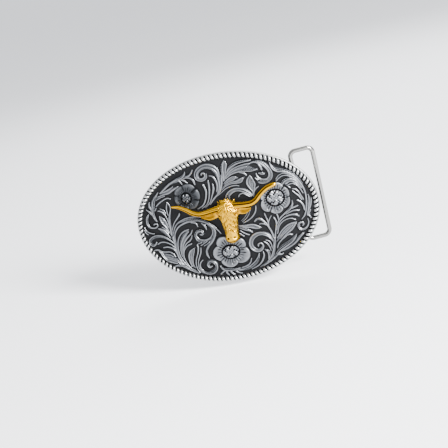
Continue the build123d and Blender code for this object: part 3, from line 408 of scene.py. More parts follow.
         (-12, -22, 0.85), (-14, -22, 0.9), (-15, -23.4, 0.85), (-14.3, -24.7, 0.7),
         (-13.5, -24.4, 0.45)],
        [(-16.8, -13.6, 0.35), (-17.4, -16, 0.45), (-18.8, -18.6, 0.4), (-19.9, -20.8, 0.35),
         (-20.4, -24, 0.3), (-19.6, -26.4, 0.25)],
        [(-18.4, -11.8, 0.35), (-18.2, -13.6, 0.55), (-19.2, -16.4, 0.45), (-20.7, -19.3, 0.4),
         (-21.4, -22, 0.35), (-21.2, -25, 0.35), (-20.2, -26.8, 0.25)],
        [(-20.3, -13.3, 0.3), (-21.2, -15.6, 0.35), (-22.3, -18, 0.35), (-22.9, -20.6, 0.35),
         (-23, -23.2, 0.3)],
        [(-20.9, -13.4, 0.3), (-23, -14.6, 0.55), (-24.2, -17, 0.55), (-24.4, -20, 0.45),
         (-23.8, -22.8, 0.35)],
        [(-22.3, -15.8, 0.25), (-23.1, -18.3, 0.3), (-23.6, -20.8, 0.25)],
    ],
    "tree_left": [
        [(-21.3, -27, 0.3), (-24.6, -25, 0.45), (-27.9, -21.9, 0.5), (-29.8, -17.7, 0.45),
         (-30.4, -13, 0.45), (-30.3, -9, 0.5), (-30.4, -5.5, 0.6)],
        [(-22.8, -25.2, 0.3), (-25.8, -22.6, 0.3), (-28.2, -19, 0.35), (-29.1, -15, 0.35),
         (-28.9, -10.6, 0.35), (-27.7, -7, 0.4), (-25.6, -4.4, 0.4), (-23.2, -3.1, 0.45),
         (-21.2, -2.7, 0.35)],
        [(-28, -16.5, 0.3), (-27.7, -12.5, 0.35), (-26.3, -8.9, 0.45), (-24.4, -6.3, 0.55),
         (-22.6, -4.7, 0.5), (-21.4, -4, 0.3)],
        [(-27.3, -15, 0.3), (-26, -11, 0.4), (-24, -8.2, 0.55), (-22, -6.4, 0.55), (-20.2, -5.1, 0.45),
         (-19.1, -3.4, 0.3)],
        [(-26.6, -13.4, 0.3), (-24.2, -10.2, 0.4), (-21.9, -8.9, 0.5), (-20.5, -7.5, 0.4),
         (-19.9, -6.2, 0.3)],
        [(-21.4, -10.6, 0.5), (-23.6, -11.3, 0.45), (-25.8, -13.1, 0.45), (-26.9, -15.8, 0.4),
         (-26.8, -18.9, 0.4), (-25.7, -22, 0.4), (-24, -24.6, 0.3)],
        [(-42.3, -11.2, 0.35), (-40.6, -11.1, 0.6), (-39.2, -12.4, 0.75), (-38.3, -14.8, 0.9),
         (-36.8, -17.3, 0.8), (-34.3, -18.9, 0.6), (-31.8, -19.9, 0.5)],
        [(-38.6, -12.4, 0.5), (-36.5, -12.9, 0.45), (-34.2, -13.2, 0.45), (-32.6, -14.5, 0.4),
         (-31.6, -16.3, 0.35)],
        [(-36.7, -14.3, 0.3), (-34.4, -14.9, 0.25), (-32.8, -16.2, 0.25)],
        [(-37, -15.7, 0.3), (-34.8, -16.3, 0.25), (-33, -17.3, 0.25), (-31.2, -17.6, 0.4)],
        [(-36.3, -17, 0.25), (-34.4, -17.6, 0.3), (-32.5, -18.5, 0.4), (-30.5, -18.8, 0.5)],
        [(-33.8, -21.6, 0.35), (-31.5, -21.1, 0.7), (-29, -21.5, 0.9), (-27.2, -22.9, 0.7),
         (-25, -24.9, 0.4)],
        [(-31, -18.3, 0.6), (-30, -20, 0.9), (-28.6, -21.6, 0.7)],
        [(-37, -10.4, 0.4), (-34.8, -10.3, 0.5), (-32.7, -11.1, 0.5), (-31.2, -12.6, 0.45),
         (-30.6, -14.4, 0.35)],
        [(-30.6, -9, 0.4), (-32.4, -7, 0.5), (-34.8, -4.9, 0.7), (-37.8, -3.7, 0.75), (-41, -3.9, 0.85),
         (-43.4, -5.3, 0.85), (-44, -7.2, 0.85), (-42.6, -8.4, 0.85), (-41, -8, 0.65),
         (-40.2, -7, 0.45)],
        [(-39.7, -8.1, 0.4), (-37.5, -7.3, 0.45), (-34.8, -7.8, 0.45), (-32.4, -9.3, 0.4),
         (-30.8, -11.3, 0.35)],
        [(-37.2, 0.2, 0.4), (-35, -0.6, 0.65), (-33.3, -2.8, 0.55), (-32, -5.6, 0.4)],
        [(-35, 0.8, 0.35), (-33.4, -0.7, 0.35), (-32.1, -3, 0.35)],
        [(-34.9, 6.6, 0.4), (-34.9, 4.6, 0.45), (-34, 2.2, 0.45), (-32.7, 0, 0.4), (-31.8, -2.2, 0.35)],
        [(-34.2, 6.3, 0.3), (-33, 4.8, 0.45), (-32.1, 2.6, 0.4), (-31.6, 0.2, 0.35)],
        [(-35, 9.7, 0.4), (-33.4, 9.2, 0.55), (-31.9, 7.2, 0.45), (-31.1, 4.6, 0.35),
         (-30.9, 1.5, 0.35)],
        [(-33.6, 10.7, 0.35), (-32.1, 9.8, 0.45), (-31.1, 8, 0.35)],
        [(-30.9, -4, 0.55), (-30.6, 0.5, 0.5), (-30.2, 4, 0.45), (-29.2, 6.8, 0.4), (-28.1, 9.2, 0.4),
         (-27.9, 11.2, 0.35), (-28.8, 13.6, 0.35)],
        [(-30.1, 6.6, 0.3), (-30.2, 9.4, 0.4), (-29.7, 11.6, 0.45), (-29, 13.2, 0.35)],
        [(-29.9, -1.6, 0.3), (-28, 1.7, 0.35), (-25.8, 4, 0.4), (-24.2, 5.6, 0.55), (-23.7, 6.5, 0.5)],
    ],
    "arch_left": [
        [(-29.6, -3.4, 0.3), (-27.6, 0.2, 0.3), (-24.2, 2.5, 0.3), (-20.2, 3.6, 0.35),
         (-16.2, 3.6, 0.35), (-13, 2.8, 0.35)],
        [(-29.8, -8, 0.35), (-28.9, -4, 0.4), (-26.3, -0.7, 0.5), (-22.3, 1.1, 0.65),
         (-18.3, 1.7, 0.75), (-14.5, 1.5, 0.8), (-11.3, 0.3, 0.85), (-8.9, -1.8, 0.85), (-7.3, -4, 0.7),
         (-7, -6.8, 0.5), (-8.2, -9.3, 0.5), (-10.3, -11.7, 0.6), (-12.6, -13.6, 0.7), (-14, -16, 0.75),
         (-13.9, -18.6, 0.55), (-13.5, -19.7, 0.3)],
        [(-18.5, 0.9, 0.5), (-16.6, 0.3, 0.5), (-15.8, -0.8, 0.45), (-15.6, -2, 0.3)],
        [(-13.2, -0.5, 0.35), (-12.1, -1.6, 0.65), (-11.5, -2.9, 0.65), (-11.4, -4.2, 0.35)],
        [(-9, -1.5, 0.6), (-6.8, -3.6, 0.6), (-5.4, -5.6, 0.5), (-4.3, -7.6, 0.35)],
        [(-8.4, -4.6, 0.2), (-8.6, -6.6, 0.3), (-9.9, -8.5, 0.35), (-12, -9.6, 0.45),
         (-14.6, -9.8, 0.9), (-16.9, -8.9, 1.1), (-17.9, -6.7, 0.95), (-16.9, -4.7, 0.9),
         (-14.9, -4.2, 0.9), (-13.6, -5.4, 0.9), (-14.2, -6.6, 0.7), (-15.3, -6.4, 0.45)],
        [(-17.8, -11.2, 0.3), (-15.9, -10.9, 0.3)],
        [(-16.3, -12.3, 0.3), (-14.6, -11.5, 0.3), (-12.7, -10.7, 0.3)],
        [(-14.6, -12.8, 0.3), (-13, -12.1, 0.25), (-11.6, -11.2, 0.25)],
    ],
    "leaf_beside_muzzle": [
        [(6, -5.4, 0.6), (9, -5.9, 0.7), (12.5, -6, 0.5), (14.8, -7, 0.4), (16.7, -8.4, 0.3)],
        [(8, -6.5, 0.6), (11.5, -7.3, 0.55), (14.3, -8.5, 0.4), (16.3, -8.8, 0.3)],
        [(6.5, -6.6, 0.8), (9, -7.9, 0.9), (11, -9.1, 0.55), (12, -10.2, 0.35)],
        [(6, -8.2, 0.4), (7.6, -9.6, 0.4), (9, -10.6, 0.4), (10, -11.2, 0.35)],
        [(5.6, -9.6, 0.3), (6.4, -10.6, 0.35), (7.2, -11.3, 0.3)],
        [(16.8, 3, 0.4), (16, 0.4, 0.45), (14, -1.9, 0.45), (11.2, -3.5, 0.4), (8.6, -4.4, 0.3)],
        [(13.5, 1.6, 0.2), (12.2, -0.6, 0.25), (10.3, -2.5, 0.25), (8.2, -3.7, 0.25)],
        [(12.4, 1.4, 0.2), (11, -0.5, 0.2), (9.3, -2.1, 0.2), (7.8, -3, 0.2)],
    ],
    "leaf_upper_left": [
        [(-31.6, 18.8, 0.35), (-28.5, 20.8, 0.6), (-25, 23, 0.65), (-21, 24.6, 0.7), (-17.8, 25.4, 0.9),
         (-16, 26.6, 0.5), (-15.6, 27.6, 0.3)],
        [(-18.5, 24.4, 0.8), (-16, 25, 0.8), (-13.8, 25.5, 0.6), (-12.2, 26.7, 0.5),
         (-11.3, 28.1, 0.3)],
        [(-19.8, 24, 0.6), (-19, 22.9, 0.45), (-18.5, 21.7, 0.3)],
        [(-18, 24, 0.6), (-16.6, 23.1, 0.45), (-15.6, 21.9, 0.3)],
        [(-15.5, 24.6, 0.4), (-13.6, 24.2, 0.5), (-12.2, 22.9, 0.65), (-11.8, 21.5, 0.6),
         (-11.7, 20.4, 0.4)],
        [(-33, 17.3, 0.3), (-30, 17.8, 0.35), (-26.8, 18.3, 0.55), (-24, 19.6, 0.65),
         (-21.3, 20.7, 0.5)],
        [(-31.2, 18.9, 0.35), (-28.5, 19.4, 0.5), (-26, 20.2, 0.5), (-24.2, 20.9, 0.35)],
        [(-34.5, 15.6, 0.3), (-32, 16.5, 0.3), (-29.5, 17, 0.3)],
        [(-35.4, 12.3, 0.4), (-33.3, 13.8, 0.45), (-30.6, 15.1, 0.45), (-28.2, 15.7, 0.45),
         (-26.7, 15.1, 0.4)],
        [(-32.7, 19.3, 0.3), (-34.3, 17.5, 0.7), (-36.2, 15, 1.1), (-37.1, 12.5, 1.1), (-37.9, 10, 1),
         (-38, 7.5, 0.9), (-37.5, 5.4, 0.7), (-37.1, 4.5, 0.5)],
        [(-38.8, 14.8, 0.35), (-39.2, 13, 0.65), (-38.7, 11.3, 0.6)],
        [(-41.3, 11.1, 0.35), (-40.1, 10.1, 0.55), (-39, 8.4, 0.6)],
        [(-35.6, 11.4, 0.3), (-36.6, 10.2, 0.4)],
        [(-40.8, 8.4, 0.4), (-41.9, 6.9, 0.75), (-42.6, 4.6, 0.85), (-42.2, 2.4, 0.8),
         (-40.8, 1.2, 0.6), (-38.8, 0.9, 0.5), (-37.3, 1.7, 0.45), (-37.3, 2.8, 0.4), (-38.4, 3, 0.6),
         (-39.2, 2.7, 0.45)],
        [(-45, 1.8, 0.3), (-44.3, -0.1, 0.4), (-42.7, -1.4, 0.45), (-40.6, -2.2, 0.35)],
        [(-45.4, 0.3, 0.25), (-44.9, -1.2, 0.35), (-43.8, -2.3, 0.3)],
    ],
}

relief = {
    "bodyHeight": 0.5,  # share of a ridge's
    "bodyWear": 0.72,
    "height": 1.15,  # mm, of a broad stroke over the ground
    "thinHeight": 0.6,  # share of that left on the finest strokes
    "step": 0.45,  # mm between sections
    "around": 18,
    "crownShare": 0.75,  # of the way round a section; the rest is the flat underneath
    "endSteps": 4,  # sections in each rounded end
    "foot": 0.1,  # how far the sides run into the plate, and flare out
    "broad": 0.62,  # mm half width past which a stroke carries an engraved vein
    "veinWidth": 0.15,  # share of the half width
    "veinDepth": 0.5,
}


def smoothRows(points, step):
    # More rows between the given ones, so that their first two columns run in a smooth line.
    padded = [points[0]] + points + [points[-1]]
    line = []
    for a, b, c, d in zip(padded, padded[1:], padded[2:], padded[3:]):
        pieces = max(2, ceil(hypot(c[0] - b[0], c[1] - b[1]) / step))
        for k in range(pieces):
            t = k / pieces
            line.append([0.5 * (2 * q + (r - p) * t + (2 * p - 5 * q + 4 * r - s) * t * t
                                + (3 * q - p - 3 * r + s) * t ** 3) for p, q, r, s in zip(a, b, c, d)])
    line.append(list(points[-1]))
    return line


def throughPoints(points, step):
    # Sections along a stroke: place, direction, half width and distance travelled.
    line = smoothRows(points, step)
    stations = []
    travelled = 0
    for i, (x, z, half) in enumerate(line):
        before, after = line[max(i - 1, 0)], line[min(i + 1, len(line) - 1)]
        run = hypot(after[0] - before[0], after[1] - before[1])
        ahead = ((after[0] - before[0]) / run, (after[1] - before[1]) / run)
        if i:
            travelled += hypot(x - line[i - 1][0], z - line[i - 1][1])
        stations.append((x, z, ahead, half, travelled))
    return stations


def roundEnds(stations):
    # Close each end in a half round.
    rounded = []
    for end, sign in ((stations[0], -1), (stations[-1], 1)):
        x, z, ahead, half, travelled = end
        cap = []
        for k in range(1, relief["endSteps"] + 1):
            turn = k / relief["endSteps"] * pi / 2
            reach = sign * half * sin(turn)
            tipX, tipZ = x + ahead[0] * reach, z + ahead[1] * reach
            cap.append((tipX, tipZ, ahead, half * cos(turn), travelled + reach))
        rounded.append(cap)
    return rounded[0][::-1] + stations + rounded[1]


def addStroke(form, points, body=False):
    stations = roundEnds(throughPoints(points, relief["step"]))
    widest = max(half for x, z, half in points)
    crowned = relief["crownShare"]

    def place(u, v):
        x, z, ahead, half, travelled = stations[round(u * (len(stations) - 1))]
        top = v <= crowned
        side = v / crowned * 2 - 1 if top else 1 - (v - crowned) / (1 - crowned) * 2
        full = relief["thinHeight"] + (1 - relief["thinHeight"]) * smooth(0.2, 0.9, half)
        crown = (1 - abs(side) ** 3.2) ** 0.55 if top else 0
        lift = relief["height"] * full * crown * smooth(0, 0.22, half)
        wear = smooth(0.45, 0.92, crown)
        if body:
            lift *= relief["bodyHeight"]
            wear *= relief["bodyWear"]
        elif top:
            share = smooth(relief["broad"], relief["broad"] + 0.25, half)
            vein = bump(side, 0.12, relief["veinWidth"]) * share
            lift *= 1 - relief["veinDepth"] * vein
            wear *= 1 - 0.95 * vein
        wide = half + relief["foot"] * (1 - crown)
        x -= ahead[1] * side * wide
        z += ahead[0] * side * wide
        broad = smooth(0.5, 0.8, widest)
        return (onFront(x * mm, z * mm, (lift - relief["foot"] * (crown < 0.01)) * mm), wear,
                travelled, side * half * broad)

    layGrid(form, len(stations) - 1, relief["around"], place)


# Low broad bodies under the ridges of the fuller leaves, so that each leaf reads as one shape.
leafBodies = {
    "volute_top": [
        [(-1.2, 13.8, 0.5), (0.3, 16.8, 1), (1.3, 20.5, 1.3), (0.8, 24, 1.4), (-1, 27, 1.4),
         (-4, 28.4, 1.2), (-7.6, 27.8, 1.2), (-9.4, 25, 1.2), (-8.8, 22.7, 1), (-6.6, 22, 0.9),
         (-5.1, 23.4, 0.8)],
    ],
    "leaf_top": [
        [(2.4, 18.5, 0.6), (3.8, 22.5, 1), (4.9, 26, 1.5), (6, 29.7, 0.3)],
        [(3.2, 19.5, 0.4), (6.5, 22.6, 1.2), (11, 24.2, 1.9), (16, 23.9, 2), (19, 22.5, 1.1),
         (21.6, 21.7, 0.5)],
        [(4.5, 21, 0.3), (8, 25, 1), (12, 27.2, 1.2), (16, 27.6, 0.9), (19.2, 27.4, 0.4)],
        [(3.2, 17.8, 0.4), (6, 19.2, 0.9), (8.8, 19.9, 1.2), (10.7, 19.6, 0.6)],
        [(2, 16, 0.4), (6, 17.3, 0.7), (10, 17.8, 1.2), (13, 18.6, 1.1), (14, 19, 0.5)],
    ],
    "crest_right": [
        [(17.5, 25.2, 0.5), (20.5, 26, 0.9), (24, 25, 1.3), (26.8, 22, 1.3), (28, 18.5, 1.2),
         (26.8, 15.6, 1.2), (23.8, 14.4, 1.2), (21.2, 15, 0.8)],
    ],
    "lancet_leaf": [
        [(17.5, 19.5, 0.2), (17, 17, 1.6), (17.2, 14, 1.9), (17.3, 11, 0.6), (17, 8.5, 0.4)],
    ],
    "arch_over_head": [
        [(16.8, 8.3, 0.4), (15, 10.9, 0.8), (12.3, 13, 0.9), (9.3, 13.7, 0.9), (6.3, 12.9, 1),
         (4.2, 10.9, 0.9), (3.7, 9, 0.5)],
    ],
    "acanthus_right": [
        [(28.5, 23.8, 0.2), (30, 20.6, 0.9), (33, 18.7, 1.3), (37, 16.9, 1), (40.3, 13.4, 0.8),
         (42.2, 9.5, 0.7)],
        [(32.2, 11.4, 0.8), (34.5, 12.6, 1.5), (37.8, 12.3, 1.3), (40.3, 10.2, 0.8), (41.8, 7, 0.4)],
    ],
    "volute_right": [
        [(44.2, 2.9, 0.2), (44.3, 0, 0.6), (43.6, -3, 0.8), (42.5, -6.5, 0.9), (43, -9.3, 0.3)],
    ],
    "tree_right": [
        [(21.8, -16.6, 0.4), (20, -13.5, 0.9), (17, -11.7, 1.1), (13.8, -12, 1.2), (11, -14, 1.3),
         (10.1, -17, 1.3), (11.4, -19.5, 1.1), (13.9, -20, 0.9), (15.5, -18.8, 0.8)],
        [(23.3, -17.5, 0.4), (26.5, -14.6, 1.2), (30, -12.2, 2), (33, -10.5, 1.4), (35.2, -9.5, 0.3)],
        [(22.8, -21.9, 0.3), (26, -20.4, 1), (30, -18.9, 1.2), (33.9, -16.1, 0.3)],
        [(23, -23, 0.8), (27.5, -22.3, 1), (32, -20.3, 0.8), (35, -17.6, 0.9), (37.6, -16.2, 0.5)],
        [(12, -29.3, 0.3), (16, -27.6, 0.8), (19.3, -25, 1), (21, -21.5, 0.9), (22.1, -17.6, 1),
         (22.6, -14, 0.6)],
    ],
    "swag_bottom": [
        [(-8.9, -25.2, 0.3), (-6.8, -27.4, 1.2), (-2, -28.2, 0.9), (3, -28.9, 1.1), (8, -28, 1.1),
         (11.5, -25.3, 1), (12.8, -22, 0.3)],
    ],
    "volute_bottom": [
        [(-20.3, -26, 0.4), (-18, -27.3, 0.9), (-14.6, -27.6, 1.1), (-11.6, -26.2, 1.2),
         (-10.6, -23.8, 1.2), (-11.9, -21.9, 1.1), (-14, -21.6, 1.2), (-15, -23.3, 1.2)],
    ],
    "tree_left": [
        [(-42.5, -11.4, 0.3), (-40, -11.8, 0.8), (-38, -14.3, 1.8), (-35.2, -16.3, 2.8),
         (-31.6, -18.3, 1.5), (-29, -19.5, 0.5)],
        [(-20.8, -27.2, 0.3), (-24, -25, 1), (-27.6, -21.6, 1.2), (-29.4, -17, 1), (-30, -12, 1),
         (-30.2, -6, 1.3), (-30.6, -1, 1), (-29.7, 5, 0.7), (-28.2, 9, 0.6)],
        [(-31.5, -8, 0.5), (-34, -5.6, 0.9), (-38, -4, 1.1), (-42, -4.4, 1.3), (-43.9, -6.6, 1.2),
         (-42.4, -8.4, 1.1)],
        [(-31.8, -6, 0.4), (-34, -2.8, 1.2), (-37.2, 0, 0.4)],
        [(-31.8, 0.5, 0.4), (-33.6, 3.2, 1.3), (-35.2, 6.2, 0.5)],
        [(-27.5, -18.5, 0.4), (-27.8, -13.5, 0.9), (-26.3, -9, 1.6), (-23.8, -5.4, 1.6),
         (-21, -2.8, 0.3)],
        [(-22.4, -24, 0.3), (-23.6, -20.5, 0.9), (-23.4, -17, 1.1), (-21.9, -14.6, 0.8),
         (-20, -13, 0.2)],
    ],
    "arch_left": [
        [(-29.5, -3, 0.4), (-26.5, 1.2, 0.6), (-22, 2.6, 1.2), (-17, 2.4, 1.3), (-12.5, 0.6, 1.2),
         (-9.2, -2.2, 1.1), (-7.6, -5.8, 0.9), (-8.6, -9.4, 1.1), (-11.6, -12.2, 1),
         (-13.8, -15.2, 0.9), (-14.3, -18, 0.8)],
        [(-10.6, -9.4, 0.8), (-13.6, -10.2, 1.2), (-16.8, -9.6, 1.4), (-18, -7.2, 1.1), (-17, -5, 1.2),
         (-14.9, -4.4, 1.1)],
    ],
    "leaf_upper_left": [
        [(-37, 3.9, 0.3), (-38.2, 7.3, 1), (-38.4, 10.6, 1.2), (-37.2, 14, 1.2), (-35.4, 16.8, 0.9),
         (-32.6, 19.3, 0.3)],
        [(-31.5, 18.4, 0.3), (-28.5, 21, 0.8), (-24.5, 23.2, 1), (-20, 24.4, 1.4), (-16.8, 25.8, 0.9),
         (-15.5, 27.8, 0.2)],
        [(-34.4, 16.4, 0.3), (-30, 18, 0.9), (-26.4, 19.2, 1.2), (-23.6, 20.2, 0.8), (-21.1, 20.8, 0.5)],
    ],
    "leaf_beside_muzzle": [
        [(7, -5.4, 0.6), (10.5, -6.3, 1.2), (13.8, -7.4, 1.2), (16.8, -8.6, 0.4)],
        [(7.6, -6.6, 0.8), (10, -8.4, 0.8), (12.1, -10.3, 0.3)],
    ],
}


def makeScrolls():
    for name, strokes in scrolls.items():
        form = newForm()
        for points in leafBodies.get(name, []):
            addStroke(form, points, body=True)
        for points in strokes:
            addStroke(form, points)
        finishPiece("scroll." + name, form, "plate", "overlay_" + name, antiquedSilver)


flowers = {
    "flower_lower": {"centre": (-1.4, -18.2), "eye": (4.4, 3.4), "paintedShadeScale": 1, "petals": [
        (-11.2, -18, 4.4), (-4.5, -26.4, 4.8), (8.2, -22.6, 4.8), (6.8, -13.2, 4.2), (-6.2, -9.6, 4.0)]},
    "flower_right": {"centre": (27.5, 5.4), "eye": (4.4, 4.1), "paintedShadeScale": 1, "petals": [
        (30.5, 13.0, 3.9), (34.9, 7.8, 4.0), (33.8, 0.4, 4.2), (26.5, -3.2, 4.2), (20.0, 0.4, 4.0),
        (20.4, 8.2, 3.6)]},
    # painted shade: this flower's wear is scaled to 0.68, darkening it as the buckle's left side lies in
    # shade
    "flower_left": {"centre": (-18.0, 14.0), "eye": (2.4, 2.7), "paintedShadeScale": 0.68, "petals": [
        (-10.3, 16.0, 4.3), (-14.2, 21.2, 4.4), (-21.6, 20.4, 4.2), (-24.4, 14.8, 4.0),
        (-20.4, 8.6, 3.8), (-12.4, 9.4, 4.2)]},
}

bloom = {
    "height": 1.2,  # mm, of a petal's rolled edge
    "ring": 0.55,  # mm, width of the black ring round the eye
    "ringFloor": 0.3,
    "eyeRise": 0.45,
    "rootLines": 27,  # graver lines round the petals' roots
    "spokes": 336,
    "rings": 50,
    # shares of the way from the centre out and back underneath
    "eyeEnd": 0.25,
    "ringEnd": 0.36,
    "petalEnd": 0.84,
}


def petalReach(flower, angle):
    # How far the nearest and the next petal reach from the flower's centre in this direction.
    reach = []
    for tipX, tipZ, half in flower["petals"]:
        runX, runZ = tipX - flower["centre"][0], tipZ - flower["centre"][1]
        turn = angle - atan2(runZ, runX)
        if cos(turn) > 0.05:
            long = hypot(runX, runZ) / 2
            bulge = cos(turn) ** 2 / long ** 2 + sin(turn) ** 2 / half ** 2
            reach.append((2 * cos(turn) / long / bulge, turn))
    reach.sort(reverse=True)
    return reach[0][0], (reach[1][0] if len(reach) > 1 else 0), reach[0][1]


def makeFlower(name, flower):
    form = newForm()
    eyeX, eyeZ = flower["eye"]
    ring = bloom["ring"]
    eyeEnd, ringEnd, petalEnd = bloom["eyeEnd"], bloom["ringEnd"], bloom["petalEnd"]

    def place(u, v):
        angle = 2 * pi * u
        eye = eyeX * eyeZ / hypot(eyeZ * cos(angle), eyeX * sin(angle))
        nearest, second, turn = petalReach(flower, angle)
        rim = max(nearest, eye + ring + 0.3)
        seam = 1 - smooth(0, 0.09, (nearest - second) / nearest)
        if v <= eyeEnd:  # the stippled eye
            share = v / eyeEnd
            reach = eye * share
            dots = sin(reach * cos(angle) * 3.7) * sin(reach * sin(angle) * 3.7 + 1)
            petals = sin(angle * 5 + reach * 1.3) * smooth(0.15, 0.6, share)
            lift = (bloom["height"] + bloom["eyeRise"]) * (1 - 0.35 * share ** 4) + 0.2 * dots + 0.16 * petals
            wear = smooth(-0.75, 0.15, dots * 0.7 + petals * 0.7 + 0.15) * (1 - smooth(0.93, 1, share))
        elif v <= ringEnd:  # the black ring
            share = (v - eyeEnd) / (ringEnd - eyeEnd)
            reach = eye + ring * share
            lift = bloom["ringFloor"] + 0.5 * abs(2 * share - 1) ** 4
            wear = 0.02
        elif v <= petalEnd:  # the petals, dished, with a rolled edge and graver lines at their roots
            share = (v - ringEnd) / (petalEnd - ringEnd)
            reach = eye + ring + (rim - eye - ring) * share
            root = 1 - smooth(0.3, 0.6, share + 0.14 * sin(angle * 9))
            line = max(0, cos(angle * bloom["rootLines"])) ** 4 * root
            edge = (1 - smooth(0.9, 1, share)) ** 0.5
            dish = 0.72 + 0.28 * smooth(0.35, 0.85, share) + 0.12 * sin(turn * 8) * share
            deep = seam * smooth(0.1, 0.4, share)
            lift = bloom["height"] * dish * (0.25 + 0.75 * edge) * (1 - 0.3 * deep) * (1 - 0.5 * line)
            wear = (0.76 + 0.24 * smooth(0.3, 0.9, share)) * (1 - line) * (1 - 0.6 * deep)
            wear *= 1 - 0.7 * smooth(0.95, 1, share)
        else:  # down into the ground and back underneath to the centre
            share = (v - petalEnd) / (1 - petalEnd)
            reach = rim * (1 - share) + 0.06 * (1 - share)
            lift = -relief["foot"]
            wear = 0
        x = (flower["centre"][0] + reach * cos(angle)) * mm
        z = (flower["centre"][1] + reach * sin(angle)) * mm
        # wear scaled by each flower's tone, which paints shade onto the left flower and leaves the others as
        # they are
        return onFront(x, z, lift * mm), wear * flower["paintedShadeScale"]

    layGrid(form, bloom["spokes"], bloom["rings"], place)
    finishPiece("bloom." + name.removeprefix("flower_"), form, "plate", name, antiquedSilver)


plate = {
    "spokes": 288,
    "rings": 30,
    "rimRound": 0.35,  # mm, radius of the plate's two rim edges
    "land": 0.42,  # mm of bright rim outside the rope
    "evenPast": 0.97,  # share of the way out past which the inset is the same all round
    "backWear": 0.62,
}


def makePlate():
    # One closed form: out over the front, round the rim and back over the rear.
    form = newForm()
    rings = plate["rings"]
    corner = plate["rimRound"] * mm
    section = [(k / rings * (1 - plate["land"] * mm / halfHeight), plateThick, 0) for k in range(rings + 1)]
    section += [(1 - corner * (1 - sin(t)) / halfHeight, plateThick - corner * (1 - cos(t)), 1)
                for t in (0, pi / 6, pi / 3, pi / 2)]
    section += [(1 - corner * (1 - cos(t)) / halfHeight, corner * (1 - sin(t)), 1)
                for t in (0, pi / 6, pi / 3, pi / 2)]
    section += [(k / rings * (1 - 2 * corner / halfHeight), 0, plate["backWear"])
                for k in range(rings, -1, -1)]

    def place(u, v):
        reach, depth, wear = section[round(v * (len(section) - 1))]
        angle = 2 * pi * u
        inset = (1 - reach) * halfHeight if reach > plate["evenPast"] else None
        x = (halfLength - inset if inset is not None else halfLength * reach) * cos(angle)
        z = (halfHeight - inset if inset is not None else halfHeight * reach) * sin(angle)
        return onFront(x, z, depth - plateThick), wear

    layGrid(form, plate["spokes"], len(section) - 1, place)
    finishPiece("bentPlate", form, "plate", "base_plate", oxidisedGround)


rope = {
    "turns": 111,
    "inset": 1.72,  # mm, rim to the rope's middle
    "twist": 0.63,  # mm, middle of the rope to the middle of the wound strand
    "strand": 0.77,  # mm
    "lift": 0.58,  # mm, the rope's middle above the plate's front
    "stepsPerTurn": 16,
    "around": 14,
}


def makeRope():
    a, b = halfLength / mm - rope["inset"], halfHeight / mm - rope["inset"]
    marks = [0]
    samples = 1440
    for k in range(samples):  # distance travelled clockwise round the oval
        t, s = [2 * pi * m / samples for m in (k, k + 1)]
        marks.append(marks[-1] + hypot(a * (sin(s) - sin(t)), b * (cos(s) - cos(t))))

    def ovalAngle(share):
        goal = share * marks[-1]
        low, high = 0, samples
        while high - low > 1:
            middle = (low + high) // 2
            low, high = (middle, high) if marks[middle] <= goal else (low, middle)
        return 2 * pi * (low + (goal - marks[low]) / (marks[low + 1] - marks[low])) / samples

    def strandCentre(share):
        angle = ovalAngle(share % 1)
        outX, outZ = b * sin(angle), a * cos(angle)
        size = hypot(outX, outZ)
        turn = 2 * pi * rope["turns"] * share
        x = a * sin(angle) + outX / size * rope["twist"] * cos(turn)
        z = b * cos(angle) + outZ / size * rope["twist"] * cos(turn)
        middle = onFront(a * sin(angle) * mm, b * cos(angle) * mm, rope["lift"] * mm)
        return onFront(x * mm, z * mm, (rope["lift"] + rope["twist"] * sin(turn)) * mm), middle

    form = newForm()
    steps = rope["turns"] * rope["stepsPerTurn"]
    path = [strandCentre(k / steps) for k in range(steps)]

    def place(u, v):
        k = round(u * steps) % steps
        centre, middle = path[k]
        ahead = (path[(k + 1) % steps][0] - path[k - 1][0]).normalized()
        away = (centre - middle).normalized()
        side = ahead.cross(away).normalized()
        away = side.cross(ahead).normalized()
        normal = away * cos(2 * pi * v) + side * sin(2 * pi * v)
        return centre + normal * rope["strand"] * mm, smooth(0.12, 0.75, cos(2 * pi * v))

    layGrid(form, steps, rope["around"], place)
    finishPiece("twistedRope", form, "plate", "rope_edge", ropeSilver)


